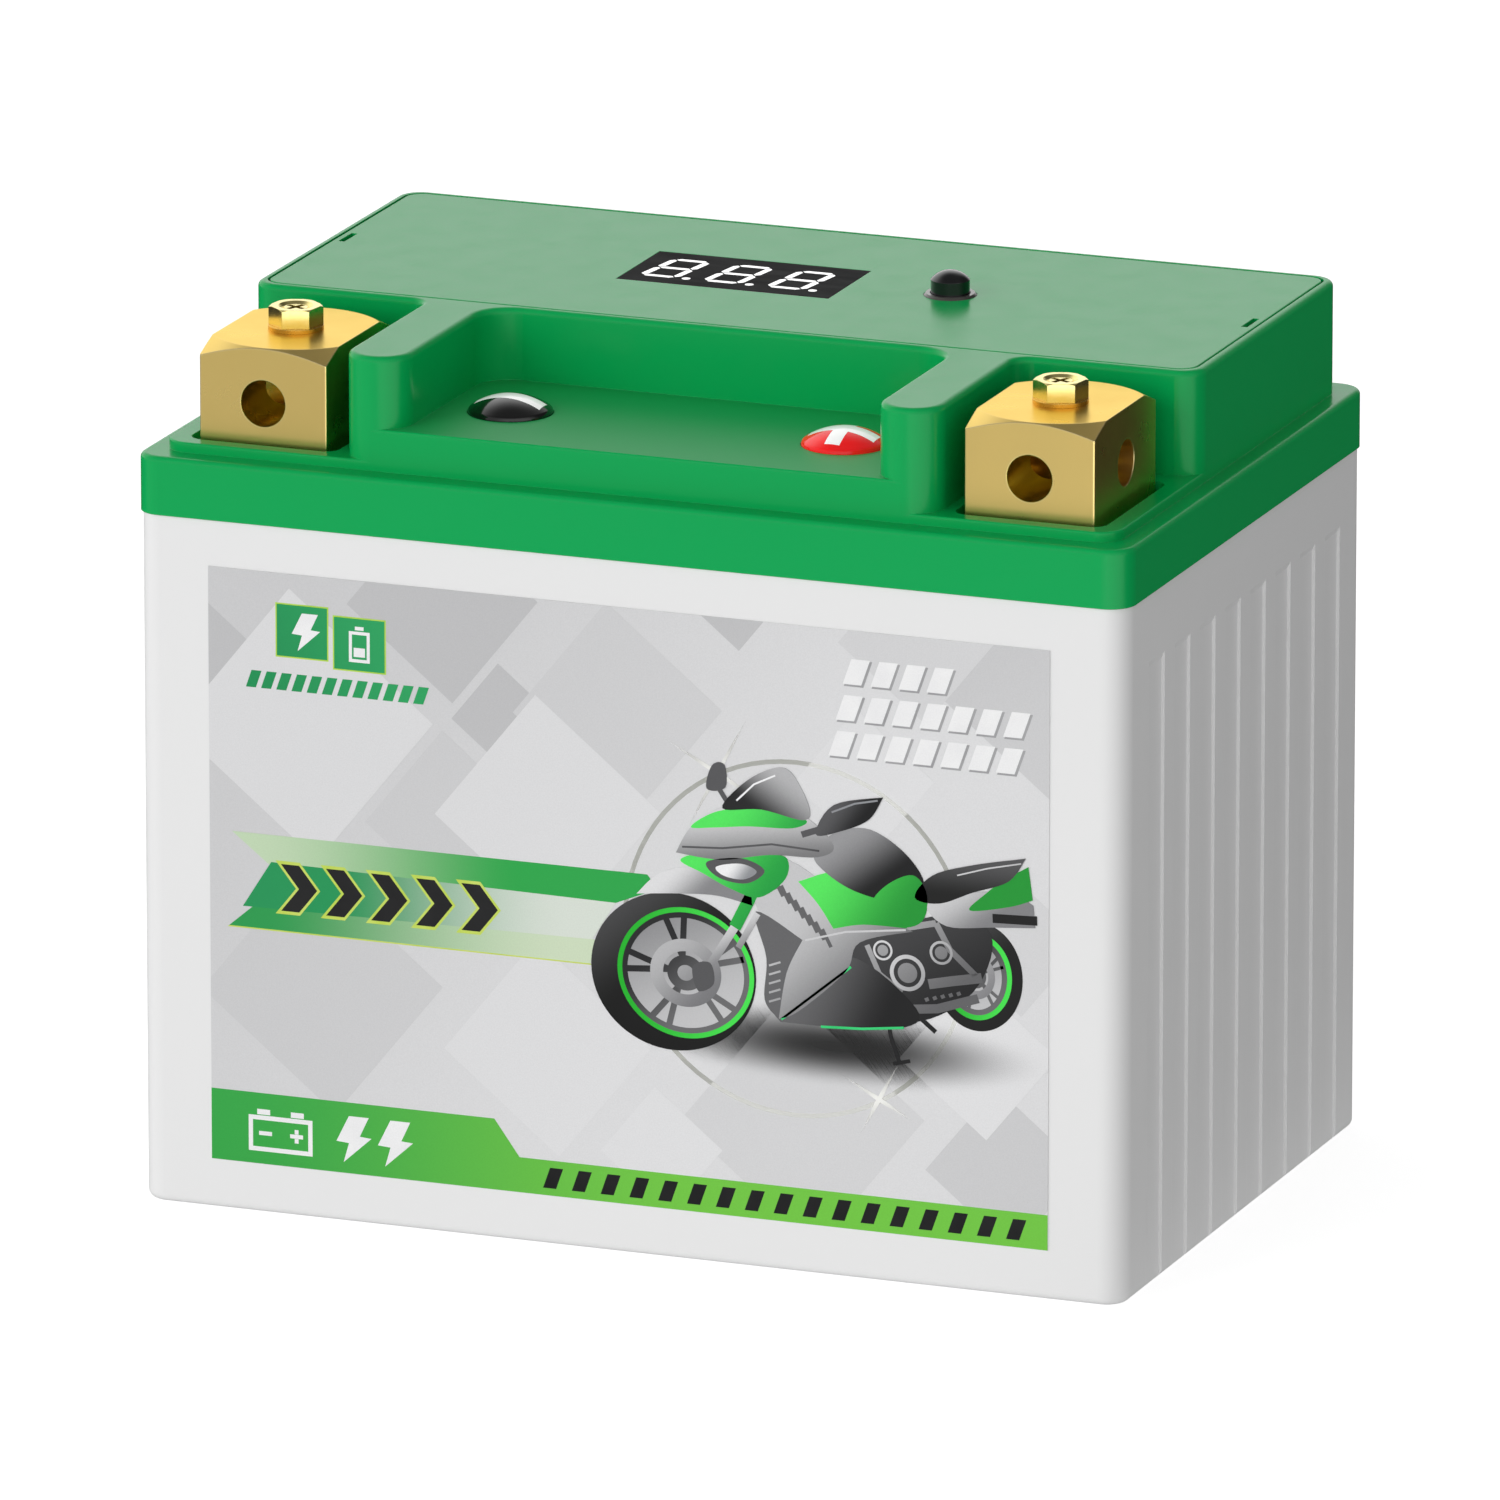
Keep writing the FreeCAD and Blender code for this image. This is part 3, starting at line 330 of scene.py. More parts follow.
def circuit_board():
    """Green solder mask over straight copper tracks."""
    n = Nodes("circuit_board")
    tracks = n.tree.nodes.new("ShaderNodeTexBrick")
    n.link(n.place, tracks.inputs["Vector"])
    tracks.inputs["Scale"].default_value = 260.0
    tracks.inputs["Color1"].default_value = (0.01, 0.16, 0.06, 1.0)
    tracks.inputs["Color2"].default_value = (0.02, 0.22, 0.08, 1.0)
    tracks.inputs["Mortar"].default_value = (0.05, 0.34, 0.13, 1.0)
    tracks.inputs["Mortar Size"].default_value = 0.03
    weave = n.noise(3000.0)
    return n.surface(Base_Color=tracks.outputs["Color"], Roughness=n.spread(weave, 0.25, 0.4),
                     Normal=n.bump(tracks.outputs["Fac"], 0.00003))


def cell_sleeve():
    """Shrink sleeve round a cell, with a faint seam and wrinkles."""
    n = Nodes("cell_sleeve")
    wrinkle = n.noise(1.0, 3.0, place=n.stretch((700.0, 700.0, 120.0)))
    base = n.blend(wrinkle, (0.02, 0.10, 0.32), (0.04, 0.16, 0.45))
    return n.surface(Base_Color=base, Roughness=n.spread(wrinkle, 0.25, 0.4), Normal=n.bump(wrinkle, 0.00002))


def lit_segment():
    """White display bar that glows a little more in its middle."""
    n = Nodes("lit_segment")
    cloud = n.noise(1500.0, 2.0)
    return n.surface(Base_Color=(0.9, 0.9, 0.9), Roughness=0.4, Emission_Color=(1.0, 1.0, 1.0),
                     Emission_Strength=n.spread(cloud, 0.50, 0.75, 0.3, 0.7), Normal=n.bump(cloud, 0.000002))


def display_glass():
    """Black display window with light smears."""
    n = Nodes("display_glass")
    smear = n.noise(1.0, 4.0, place=n.stretch((160.0, 600.0, 160.0)))
    return n.surface(Base_Color=n.blend(smear, (0.001, 0.001, 0.001), (0.003, 0.003, 0.004)),
                     Roughness=n.spread(smear, 0.45, 0.55, 0.3, 0.7), Specular_IOR_Level=0.02,
                     Normal=n.bump(smear, 0.000002))


# ---- printed inks --------------------------------------------------------
def ink(name, first, second, start=None, end=None, rough=0.42):
    """Printed ink on film: a gradient from start to end (x, z in mm), with fine print grain."""
    n = Nodes(name)
    grain = n.noise(6500.0, 2.0)
    mottle = n.noise(300.0, 3.0)
    if start is None:
        ramp = n.spread(mottle, 0.0, 1.0, 0.3, 0.7)
    else:
        run_x, run_z = (end[0] - start[0]) * MM, (end[1] - start[1]) * MM
        length2 = run_x * run_x + run_z * run_z
        along_x = n.math("MULTIPLY", n.math("SUBTRACT", n.axis("X"), start[0] * MM), run_x / length2)
        along_z = n.math("MULTIPLY", n.math("SUBTRACT", n.axis("Z"), start[1] * MM), run_z / length2)
        ramp = n.spread(n.math("ADD", along_x, along_z), 0.0, 1.0, smooth=True)
    base = n.blend(ramp, first, second)
    base = n.blend(n.spread(grain, 0.0, 0.06, 0.3, 0.7), base, (0.0, 0.0, 0.0))
    roughness = n.spread(mottle, rough - 0.04, rough + 0.05, 0.3, 0.7)
    return n.surface(Base_Color=base, Roughness=roughness, Specular_IOR_Level=0.35,
                     Normal=n.bump(grain, 0.0000012))


def soft_ink(name, colour, middle, radii, strength):
    """Ink that fades out from its middle (x, z in mm) to an elliptical border."""
    n = Nodes(name)
    grain = n.noise(5000.0, 2.0)
    across = n.math("MULTIPLY", n.math("SUBTRACT", n.axis("X"), middle[0] * MM), 1 / (radii[0] * MM))
    upward = n.math("MULTIPLY", n.math("SUBTRACT", n.axis("Z"), middle[1] * MM), 1 / (radii[1] * MM))
    fade = n.spread(n.radius(across, upward), strength, 0.0, smooth=True)
    base = n.blend(n.spread(grain, 0.0, 0.1, 0.3, 0.7), colour, shade(colour, 0.8))
    return n.surface(Base_Color=base, Roughness=0.45, Alpha=fade, Specular_IOR_Level=0.3)


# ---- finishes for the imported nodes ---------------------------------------
def finishes():
    """One material for each of the record's material slots."""
    return {
        "case_plastic": moulded_plastic("case_plastic", CASE_GREY, 0.40, variation=0.015, edge_highlight=0.25,
                                        rounding=0.00005),
        "lid_plastic": moulded_plastic("lid_plastic", LEAF_GREEN, 0.22, satin_at=RECESS_FLOOR),
        "panel_plastic": moulded_plastic("panel_plastic", LEAF_GREEN, 0.22),
        "sealant": rubber("sealant", (0.62, 0.62, 0.58)),
        "window_plastic": display_glass(),
        "segment_light": lit_segment(),
        "housing_plastic": moulded_plastic("housing_plastic", (0.02, 0.02, 0.02), 0.55),
        "circuit_board": circuit_board(),
        "wire_cover": glossy_plastic("wire_cover", (0.45, 0.02, 0.02), 0.25),
        "button_plastic": glossy_plastic("button_plastic", (0.004, 0.004, 0.005), 0.10),
        "bezel_plastic": glossy_plastic("bezel_plastic", (0.060, 0.055, 0.050), 0.22),
        "label_film": ink("label_film", (0.64, 0.64, 0.65), (0.78, 0.78, 0.79), (-48, 66), (10, 20)),
        "cell_sleeve": cell_sleeve(),
        "bracket_plastic": moulded_plastic("bracket_plastic", (0.04, 0.04, 0.04), 0.55),
        "nickel": plain_metal("nickel", (0.66, 0.64, 0.60), 0.28),
        "components": moulded_plastic("components", (0.03, 0.03, 0.03), 0.50),
        "foam": foam("foam", (0.05, 0.05, 0.055)),
        "insulation": rubber("insulation", (0.62, 0.58, 0.30)),
        "brass": turned_brass(),
        "seal_rubber": rubber("seal_rubber", (0.015, 0.015, 0.015)),
        "steel": plain_metal("steel", (0.60, 0.60, 0.62), 0.30),
        "copper": plain_metal("copper", (0.86, 0.40, 0.22), 0.30),
        "gilt_washer": gilt_metal("gilt_washer", (0.86, 0.50, 0.10), 0.22),
        "gilt_screw": gilt_metal("gilt_screw", GILT, 0.16),
        "marker_black": glossy_plastic("marker_black", (0.003, 0.003, 0.003)),
        # The red marker and the white signs get a glow: painted light that makes them brighter, though they
        # are no lamps.
        "marker_red": glossy_plastic("marker_red", (0.96, 0.008, 0.010), coat=0.0, glow=0.20),
        "sign_white": glossy_plastic("sign_white", (0.92, 0.92, 0.92), 0.14, glow=0.35),
    }


def dress_nodes():
    """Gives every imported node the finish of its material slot."""
    made = finishes()
    for part in frame["record"]["subparts"]:
        thing = frame["nodes"][part["node"]]
        finish = made[part["material_slot"]]
        if not thing.material_slots:
            thing.data.materials.append(finish)
        for spot in thing.material_slots:
            spot.material = finish


# ---- flat print shapes ---------------------------------------------------
LABEL_LOW, LABEL_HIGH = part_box("front_label")
LABEL_FACE = LABEL_LOW.y
LAYER_STEP = 0.000004
PLATE_STEP = 0.0000003
FIRST_LAYER = 0.000010
FACET_TILT = math.radians(6)
GLINT_TURN = math.radians(62)
SAME_POINT = 1e-4        # points of an outline closer than this are one point
ELLIPSE_POINTS = 72
CURVE_STEPS = 6
RING_MIDDLE = (19.3, 37.0)
BIKE_MIDDLE = (5.4, 32.0)
LABEL_BOX = (LABEL_LOW.x / MM, LABEL_LOW.z / MM, LABEL_HIGH.x / MM, LABEL_HIGH.z / MM)


def clip_half(points, inside, cross):
    """The part of a convex or simple outline on the inner side of one straight border."""
    kept = []
    for i, here in enumerate(points):
        before = points[i - 1]
        if inside(here) != inside(before):
            kept.append(cross(before, here))
        if inside(here):
            kept.append(here)
    return kept


def clip_to_label(points):
    """Trims an outline to the label's rectangle."""
    x0, z0, x1, z1 = LABEL_BOX
    for axis, limit, sign in ((0, x0, 1), (0, x1, -1), (1, z0, 1), (1, z1, -1)):
        def inside(p):
            return (p[axis] - limit) * sign >= 0

        def cross(a, b):
            t = (limit - a[axis]) / (b[axis] - a[axis])
            return (a[0] + (b[0] - a[0]) * t, a[1] + (b[1] - a[1]) * t)
        points = clip_half(points, inside, cross)
        if not points:
            break
    return points


def tidy_outline(points):
    """Drops repeated points and makes the outline run anticlockwise seen from the front."""
    kept = []
    for p in points:
        if not kept or math.dist(p, kept[-1]) > SAME_POINT:
            kept.append(p)
    if math.dist(kept[0], kept[-1]) < SAME_POINT:
        kept.pop()
    area = sum(kept[i - 1][0] * p[1] - p[0] * kept[i - 1][1] for i, p in enumerate(kept))
    return kept if area > 0 else kept[::-1]


def add_plate(mesh, points, top):
    """One closed plate from the label's face out to the height of its layer."""
    outline = tidy_outline(points)
    back = [mesh.verts.new((x * MM, LABEL_FACE, z * MM)) for x, z in outline]
    front = [mesh.verts.new((x * MM, LABEL_FACE - top, z * MM)) for x, z in outline]
    mesh.faces.new(front)
    mesh.faces.new(back[::-1])
    count = len(outline)
    for i in range(count):
        j = (i + 1) % count
        mesh.faces.new((back[i], back[j], front[j], front[i]))


def add_ring(mesh, outer, inner, top):
    """One closed flat ring between two outlines with the same number of points."""
    rings = []
    for outline in (outer, inner):
        for height in (0.0, top):
            rings.append([mesh.verts.new((x * MM, LABEL_FACE - height, z * MM)) for x, z in outline])
    outer_back, outer_front, inner_back, inner_front = rings
    count = len(outer)
    for i in range(count):
        j = (i + 1) % count
        mesh.faces.new((outer_front[i], outer_front[j], inner_front[j], inner_front[i]))
        mesh.faces.new((outer_back[j], outer_back[i], inner_back[i], inner_back[j]))
        mesh.faces.new((outer_back[i], outer_back[j], outer_front[j], outer_front[i]))
        mesh.faces.new((inner_back[j], inner_back[i], inner_front[i], inner_front[j]))


def print_piece(name, layer, material, plates=(), rings=()):
    """One printed layer on the label: any number of plates and rings in one ink."""
    top = FIRST_LAYER + layer * LAYER_STEP
    mesh = bmesh.new()
    for i, points in enumerate(plates):
        add_plate(mesh, points, top + i * PLATE_STEP)
    for outer, inner in rings:
        add_ring(mesh, outer, inner, top)
    data = bpy.data.meshes.new(name)
    mesh.to_mesh(data)
    mesh.free()
    data.materials.append(material)
    piece = bpy.data.objects.new(name, data)
    bpy.context.scene.collection.objects.link(piece)
    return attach(piece, ROOT)


def smooth_outline(points):
    """Closed Catmull-Rom curve through the points. A point given as (x, z, 0) stays a sharp corner."""
    count = len(points)
    drawn = []
    for i in range(count):
        p0, p1, p2, p3 = (points[(i + k) % count] for k in (-1, 0, 1, 2))
        before = p1 if len(p1) == 3 else p0
        after = p2 if len(p2) == 3 else p3
        for step in range(CURVE_STEPS):
            t = step / CURVE_STEPS
            drawn.append(tuple(
                0.5 * (2 * p1[k] + (p2[k] - before[k]) * t
                       + (2 * before[k] - 5 * p1[k] + 4 * p2[k] - after[k]) * t * t
                       + (3 * p1[k] - before[k] - 3 * p2[k] + after[k]) * t ** 3)
                for k in (0, 1)))
    return drawn


def ellipse(x, z, rx, rz):
    angles = [2 * math.pi * i / ELLIPSE_POINTS for i in range(ELLIPSE_POINTS)]
    return [(x + rx * math.cos(a), z + rz * math.sin(a)) for a in angles]


def ellipse_ring(x, z, outer, inner):
    """A ring between two ellipses, each given by its two radii."""
    return ellipse(x, z, *outer), ellipse(x, z, *inner)


def stroke(points, width):
    """A bar of even width that follows a short open path."""
    left, right = [], []
    for i, (x, z) in enumerate(points):
        ax, az = points[max(i - 1, 0)]
        bx, bz = points[min(i + 1, len(points) - 1)]
        length = math.hypot(bx - ax, bz - az)
        nx, nz = -(bz - az) / length * width / 2, (bx - ax) / length * width / 2
        left.append((x + nx, z + nz))
        right.append((x - nx, z - nz))
    return left + right[::-1]


def slanted(x, z, wide, tall, slope=0.35):
    """A parallelogram that leans right, from its lower left corner."""
    return [(x, z), (x + wide, z), (x + wide + slope * tall, z + tall), (x + slope * tall, z + tall)]


def upright(x, z, wide, tall):
    """A rectangle from its lower left corner."""
    return slanted(x, z, wide, tall, 0.0)


def turned_square(x, z, half, angle):
    c, s = math.cos(angle) * half, math.sin(angle) * half
    return [(x + c, z + s), (x - s, z + c), (x - c, z - s), (x + s, z - c)]


# ---- label art -----------------------------------------------------------
def label_facets():
    """Large tilted squares in close greys behind everything else."""
    pale = ink("ink_pale_grey", (0.76, 0.76, 0.77), (0.82, 0.82, 0.83), (-30, 60), (30, 10))
    mid = ink("ink_mid_grey", (0.64, 0.64, 0.65), (0.72, 0.72, 0.73), (-40, 60), (30, 20))
    dark = ink("ink_dark_grey", (0.56, 0.56, 0.57), (0.66, 0.66, 0.67), (0, 70), (20, 40))
    dark_squares = ((-21, 70, 11), (12, 76, 8), (47, 66, 11), (43, 14, 9), (-49, 61, 8), (-14, 58, 6))
    mid_squares = ((-1, 60, 12), (-35, 26, 14), (20, 17, 14), (33, 71, 9), (-20, 46, 10), (44, 39, 8))
    pale_squares = ((-37, 55, 15), (-9, 48, 13), (27, 55, 8), (-9, 22, 12), (4, 12, 7), (40, 26, 9))
    groups = (("facets_dark", dark, dark_squares), ("facets_mid", mid, mid_squares),
              ("facets_pale", pale, pale_squares))
    for layer, (name, material, squares) in enumerate(groups):
        plates = [clip_to_label(turned_square(x, z, half, FACET_TILT)) for x, z, half in squares]
        print_piece(name, layer, material, plates)


def label_band():
    """Green foot band that steps down to the right, with dark slanted bars on its low part."""
    x0, z0, x1, _ = LABEL_BOX
    low, high = z0 + 3.9, z0 + 7.9
    green = ink("ink_band_green", (0.034, 0.430, 0.066), (0.180, 0.630, 0.056), (-48, 10), (10, 10))
    band = [(x0, z0), (x1, z0), (x1, low), (-12.3, low), (-15.2, high), (x0, high)]
    print_piece("foot_band", 3, green, [band])
    bars = [slanted(-9.6 + i * 3.3, z0 + 0.8, 1.5, 2.3) for i in range(17)]
    print_piece("foot_bars", 4, ink("ink_black", INK_BLACK, (0.016, 0.016, 0.017)), bars)


def battery_icon(x, z):
    """Outline battery seen from the side: a ring, two terminal stubs and its signs."""
    outline = (upright(x, z, 7.4, 4.0), upright(x + 0.5, z + 0.5, 6.4, 3.0))
    stubs = [upright(x + 1.0, z + 4.1, 1.5, 0.6), upright(x + 4.9, z + 4.1, 1.5, 0.6)]
    minus = upright(x + 1.2, z + 1.8, 1.5, 0.45)
    plus = upright(x + 4.8, z + 1.8, 1.5, 0.45)
    plus_low = upright(x + 5.33, z + 1.27, 0.45, 0.5)
    plus_high = upright(x + 5.33, z + 2.28, 0.45, 0.5)
    return [minus, plus, plus_low, plus_high, *stubs], outline


def bolt(x, z, tall):
    """Lightning bolt from its lower tip."""
    shape = ((0.0, 0.0), (0.62, 0.56), (0.36, 0.58), (0.56, 1.0), (0.12, 1.0), (-0.16, 0.44), (0.12, 0.42))
    return [(x + u * tall, z + v * tall) for u, v in shape]


def label_symbols():
    """Plain pictograms where such a label carries its ratings."""
    white = ink("ink_white", (0.90, 0.90, 0.91), (0.96, 0.96, 0.96))
    leaf = ink("ink_leaf", (0.006, 0.300, 0.090), (0.020, 0.400, 0.120), (-44, 58), (-24, 68))
    lime = ink("ink_lime", (0.42, 0.70, 0.05), (0.55, 0.78, 0.10))
    outline = ink("ink_outline", (0.34, 0.34, 0.35), (0.42, 0.42, 0.43))
    plates, ring = battery_icon(-43.6, 7.0)
    print_piece("foot_icon", 4, white, plates + [bolt(-32.6, 6.8, 5.2), bolt(-27.8, 6.8, 5.2)], [ring])
    corners = ((-40.0, 62.4), (-33.4, 61.6))
    print_piece("emblem_squares", 4, leaf, [upright(x, z, 5.8, 5.7) for x, z in corners])
    frames = [(upright(x - 0.15, z - 0.15, 6.1, 6.0), upright(x, z, 5.8, 5.7)) for x, z in corners]
    print_piece("emblem_frames", 3, lime, [], frames)
    cell_ring = (upright(-31.7, 62.5, 2.4, 3.4), upright(-31.35, 62.85, 1.7, 2.7))
    cell_marks = [upright(-31.0, 66.05, 1.0, 0.4), upright(-31.15, 63.1, 1.3, 1.0)]
    print_piece("emblem_signs", 5, white, [bolt(-37.6, 63.1, 4.2)] + cell_marks, [cell_ring])
    print_piece("emblem_bars", 4, leaf, [slanted(-43.6 + i * 1.75, 58.6, 1.15, 1.9) for i in range(12)])
    rows = ((24.6, 65.6, 4), (23.8, 61.6, 7), (23.0, 57.6, 7))
    bars = [(x + i * 3.15, z) for x, z, count in rows for i in range(count)]
    print_piece("rating_shadow", 3, outline, [slanted(x + 0.12, z - 0.22, 2.2, 2.9) for x, z in bars])
    print_piece("rating_bars", 4, white, [slanted(x, z, 2.1, 2.8) for x, z in bars])


def label_banner():
    """Swept stripes behind the motorcycle, with a row of dark arrow marks."""
    upper = ink("ink_stripe_upper", (0.58, 0.74, 0.50), (0.020, 0.420, 0.070), (-44, 41), (-12, 41))
    middle = ink("ink_stripe_middle", (0.012, 0.330, 0.100), (0.74, 0.80, 0.72), (-34, 36), (-6, 36))
    lower = ink("ink_stripe_lower", (0.020, 0.360, 0.080), (0.66, 0.78, 0.56), (-42, 33), (-6, 33))
    lime = ink("ink_trim", (0.55, 0.72, 0.08), (0.66, 0.78, 0.16))
    black = ink("ink_mark", INK_BLACK, (0.016, 0.016, 0.017))
    print_piece("stripe_upper", 5, upper, [
        [(-45.3, 42.4), (2.4, 42.4), (3.6, 40.9), (-1.2, 38.9), (-40.8, 38.9)]])
    print_piece("stripe_middle", 6, middle, [[(-40.8, 39.4), (-1.2, 38.9), (-3.9, 34.6), (-44.1, 34.2)]])
    print_piece("stripe_lower", 5, lower, [[(-42.9, 34.3), (-3.6, 34.6), (-4.1, 31.9), (-45.7, 31.9)]])
    print_piece("stripe_trim", 5, lime, [[(-45.9, 31.75), (-4.0, 31.75), (-4.1, 31.9), (-45.7, 31.9)]])
    arrows, borders = [], []
    for i in range(5):
        x, z, grow = -37.6 + i * 5.2, 36.7, 0.35
        arrows.append(arrow(x, z, 2.1, 2.6))
        borders.append(arrow(x - grow, z, 2.1 + 2 * grow, 2.6 + grow))
    print_piece("arrow_borders", 7, lime, borders)
    print_piece("arrow_marks", 8, black, arrows)


def arrow(x, z, wide, half):
    """Chevron that points right, from the middle of its notch."""
    reach = half * 0.8
    return [(x, z), (x - reach, z + half), (x - reach + wide, z + half), (x + wide, z),
            (x - reach + wide, z - half), (x - reach, z - half)]


def star(x, z, long, short):
    """Four-pointed glint."""
    points = []
    for i in range(8):
        r = long if i % 2 == 0 else short
        a = i * math.pi / 4 + GLINT_TURN
        points.append((x + r * math.cos(a), z + r * math.sin(a)))
    return points


def label_glow():
    """Thin pale ring and two glints round the motorcycle, and the soft shadow below it."""
    x, z = RING_MIDDLE
    glow = soft_ink("ink_glow", (0.93, 0.94, 0.86), (x, z), (40.0, 40.0), 0.75)
    print_piece("glow_ring", 4, glow, [], [ellipse_ring(x, z, (19.7, 19.7), (19.2, 19.2))])
    for name, place, size in (("glint_upper", (10.4, 54.4), 7.5), ("glint_lower", (28.8, 20.3), 5.0)):
        shine = soft_ink("ink_" + name, (1.0, 1.0, 0.96), place, (size, size), 0.95)
        print_piece(name, 9, shine, [star(*place, size, 0.35)])
    shadow = soft_ink("ink_shadow", (0.02, 0.02, 0.02), (24.0, 25.6), (24.5, 4.6), 0.92)
    print_piece("bike_shadow", 7, shadow, [ellipse(24.0, 25.6, 24.5, 4.6)])


# ---- the drawn motorcycle, laid out from its front wheel's centre --------
def on_bike(points):
    x0, z0 = BIKE_MIDDLE
    return [(x0 + p[0], z0 + p[1], *p[2:]) for p in points]


def bike_ink(name, first, second, start=None, end=None):
    """Glossier ink for the drawing, with its gradient placed from the front wheel's centre."""
    if start is None:
        return ink(name, first, second, rough=0.36)
    start, end = on_bike((start, end))
    return ink(name, first, second, start, end, rough=0.36)


def bike_plates(name, layer, material, outlines):
    """Rounded body panels of the drawing."""
    print_piece(name, layer, material, [smooth_outline(on_bike(points)) for points in outlines])


def bike_strokes(name, layer, material, runs):
    """Bars of the drawing: each run is its points and its width."""
    print_piece(name, layer, material, [stroke(on_bike(points), width) for points, width in runs])


def bike_wheel(name, layer, middle, radii, rim_shift, rim_share, spokes):
    """Tyre, green rim, cast spokes and brake disc of one drawn wheel."""
    x, z = on_bike([middle])[0]
    rx, rz = radii
    hub_x = x + rim_shift
    rim_x, rim_z = rx * rim_share, rz * rim_share
    hub_upper, hub_lower = (hub_x - 3, z + 3), (hub_x + 3, z - 3)
    tyre = ink("ink_tyre_" + name, (0.085, 0.085, 0.088), (0.006, 0.006, 0.006),
               (x - rx, z + rz), (x - 0.2 * rx, z))
    dark = ink("ink_well_" + name, (0.25, 0.25, 0.26), (0.60, 0.60, 0.61),
               (hub_x - rim_x, z + rim_z), (hub_x, z - rim_z))
    green = ink("ink_rim_" + name, (0.010, 0.500, 0.020), (0.060, 0.850, 0.080),
                (hub_x - rim_x, z), (hub_x + rim_x, z))
    iron = ink("ink_spoke_" + name, (0.020, 0.020, 0.022), (0.160, 0.160, 0.165), hub_upper, hub_lower)
    steel = ink("ink_disc_" + name, (0.52, 0.52, 0.53), (0.20, 0.20, 0.21), hub_upper, hub_lower)
    print_piece("tyre_" + name, layer, tyre, [ellipse(x, z, rx, rz)])
    print_piece("well_" + name, layer + 1, dark, [ellipse(hub_x, z, rim_x - 0.3, rim_z - 0.3)])
    band_inner = (rim_x - 0.55, rim_z - 0.55)
    print_piece("rim_" + name, layer + 2, green, [], [ellipse_ring(hub_x, z, (rim_x, rim_z), band_inner)])
    lip = ellipse_ring(hub_x, z, band_inner, (rim_x - 1.15, rim_z - 1.15))
    arms = []
    for i in range(spokes):
        a = 2 * math.pi * i / spokes + 0.5
        for bend in (-0.16, 0.16):
            tip = (hub_x + (rim_x - 0.8) * math.cos(a + bend), z + (rim_z - 0.8) * math.sin(a + bend))
            root = (hub_x + 0.25 * rim_x * math.cos(a), z + 0.25 * rim_z * math.sin(a))
            arms.append(stroke([root, tip], 0.09 * rim_x))
    print_piece("spokes_" + name, layer + 3, iron, arms, [lip])
    disc = ellipse_ring(hub_x, z, (0.52 * rim_x, 0.52 * rim_z), (0.33 * rim_x, 0.33 * rim_z))
    print_piece("disc_" + name, layer + 4, steel, [], [disc])
    print_piece("hub_" + name, layer + 4, iron, [ellipse(hub_x, z, 0.27 * rim_x, 0.27 * rim_z)])
    print_piece("cap_" + name, layer + 5, steel, [ellipse(hub_x, z, 0.12 * rim_x, 0.12 * rim_z)])


def bike_drive():
    """Engine, frame, swing arm, exhaust and stand."""
    iron = bike_ink("ink_engine", (0.060, 0.060, 0.063), (0.010, 0.010, 0.011), (22, 8), (30, -3))
    steel = bike_ink("ink_steel", (0.46, 0.46, 0.47), (0.13, 0.13, 0.135), (22, 9), (31, -1))
    bright = bike_ink("ink_bright", (0.72, 0.72, 0.73), (0.30, 0.30, 0.31), (24, 6), (31, 0))
    bike_plates("engine", 14, iron, [
        [(17.5, 3.0), (22.0, 7.6), (27.0, 8.4), (33.0, 9.8), (36.2, 7.0), (34.0, 1.2), (28.0, -2.6),
         (20.0, -2.8)]])
    bike_strokes("frame_tubes", 15, steel, [
        ([(20.5, 6.0), (25.0, 7.2), (29.8, 8.4)], 0.7), ([(29.8, 8.4), (31.4, 5.6), (34.4, 3.0)], 0.7),
        ([(29.0, 1.6), (31.6, 2.2), (35.0, 2.9)], 1.1),
        ([(20.5, -1.9), (25.0, -1.6), (30.0, -1.0), (34.6, 0.6)], 1.0),
        ([(22.0, 5.2), (23.4, 2.2), (26.0, 0.4)], 0.6)])
    x, z = BIKE_MIDDLE
    covers = [(26.6, 2.6, 2.0), (30.4, 5.2, 1.3), (23.8, 4.8, 1.1)]
    rings = [ellipse_ring(x + u, z + v, (r, r), (0.78 * r, 0.78 * r)) for u, v, r in covers]
    print_piece("cover_rings", 16, bright, [], rings)
    print_piece("cover_caps", 16, steel, [ellipse(x + u, z + v, 0.55 * r, 0.55 * r) for u, v, r in covers])
    fins = [([(21.2 + 0.85 * i, 0.9), (21.6 + 0.85 * i, -0.9)], 0.3) for i in range(4)]
    bolts = [([(28.6 + 0.9 * i, -0.2 + 0.25 * i), (29.0 + 0.9 * i, 0.0 + 0.25 * i)], 0.4) for i in range(5)]
    bike_strokes("engine_fins", 16, steel, fins + bolts)
    bike_strokes("stand", 14, iron, [
        ([(24.2, -1.5), (24.7, -4.6), (25.7, -7.4)], 0.45), ([(25.0, -7.6), (26.9, -7.1)], 0.4),
        ([(28.0, -2.2), (29.8, -3.6)], 0.5)])


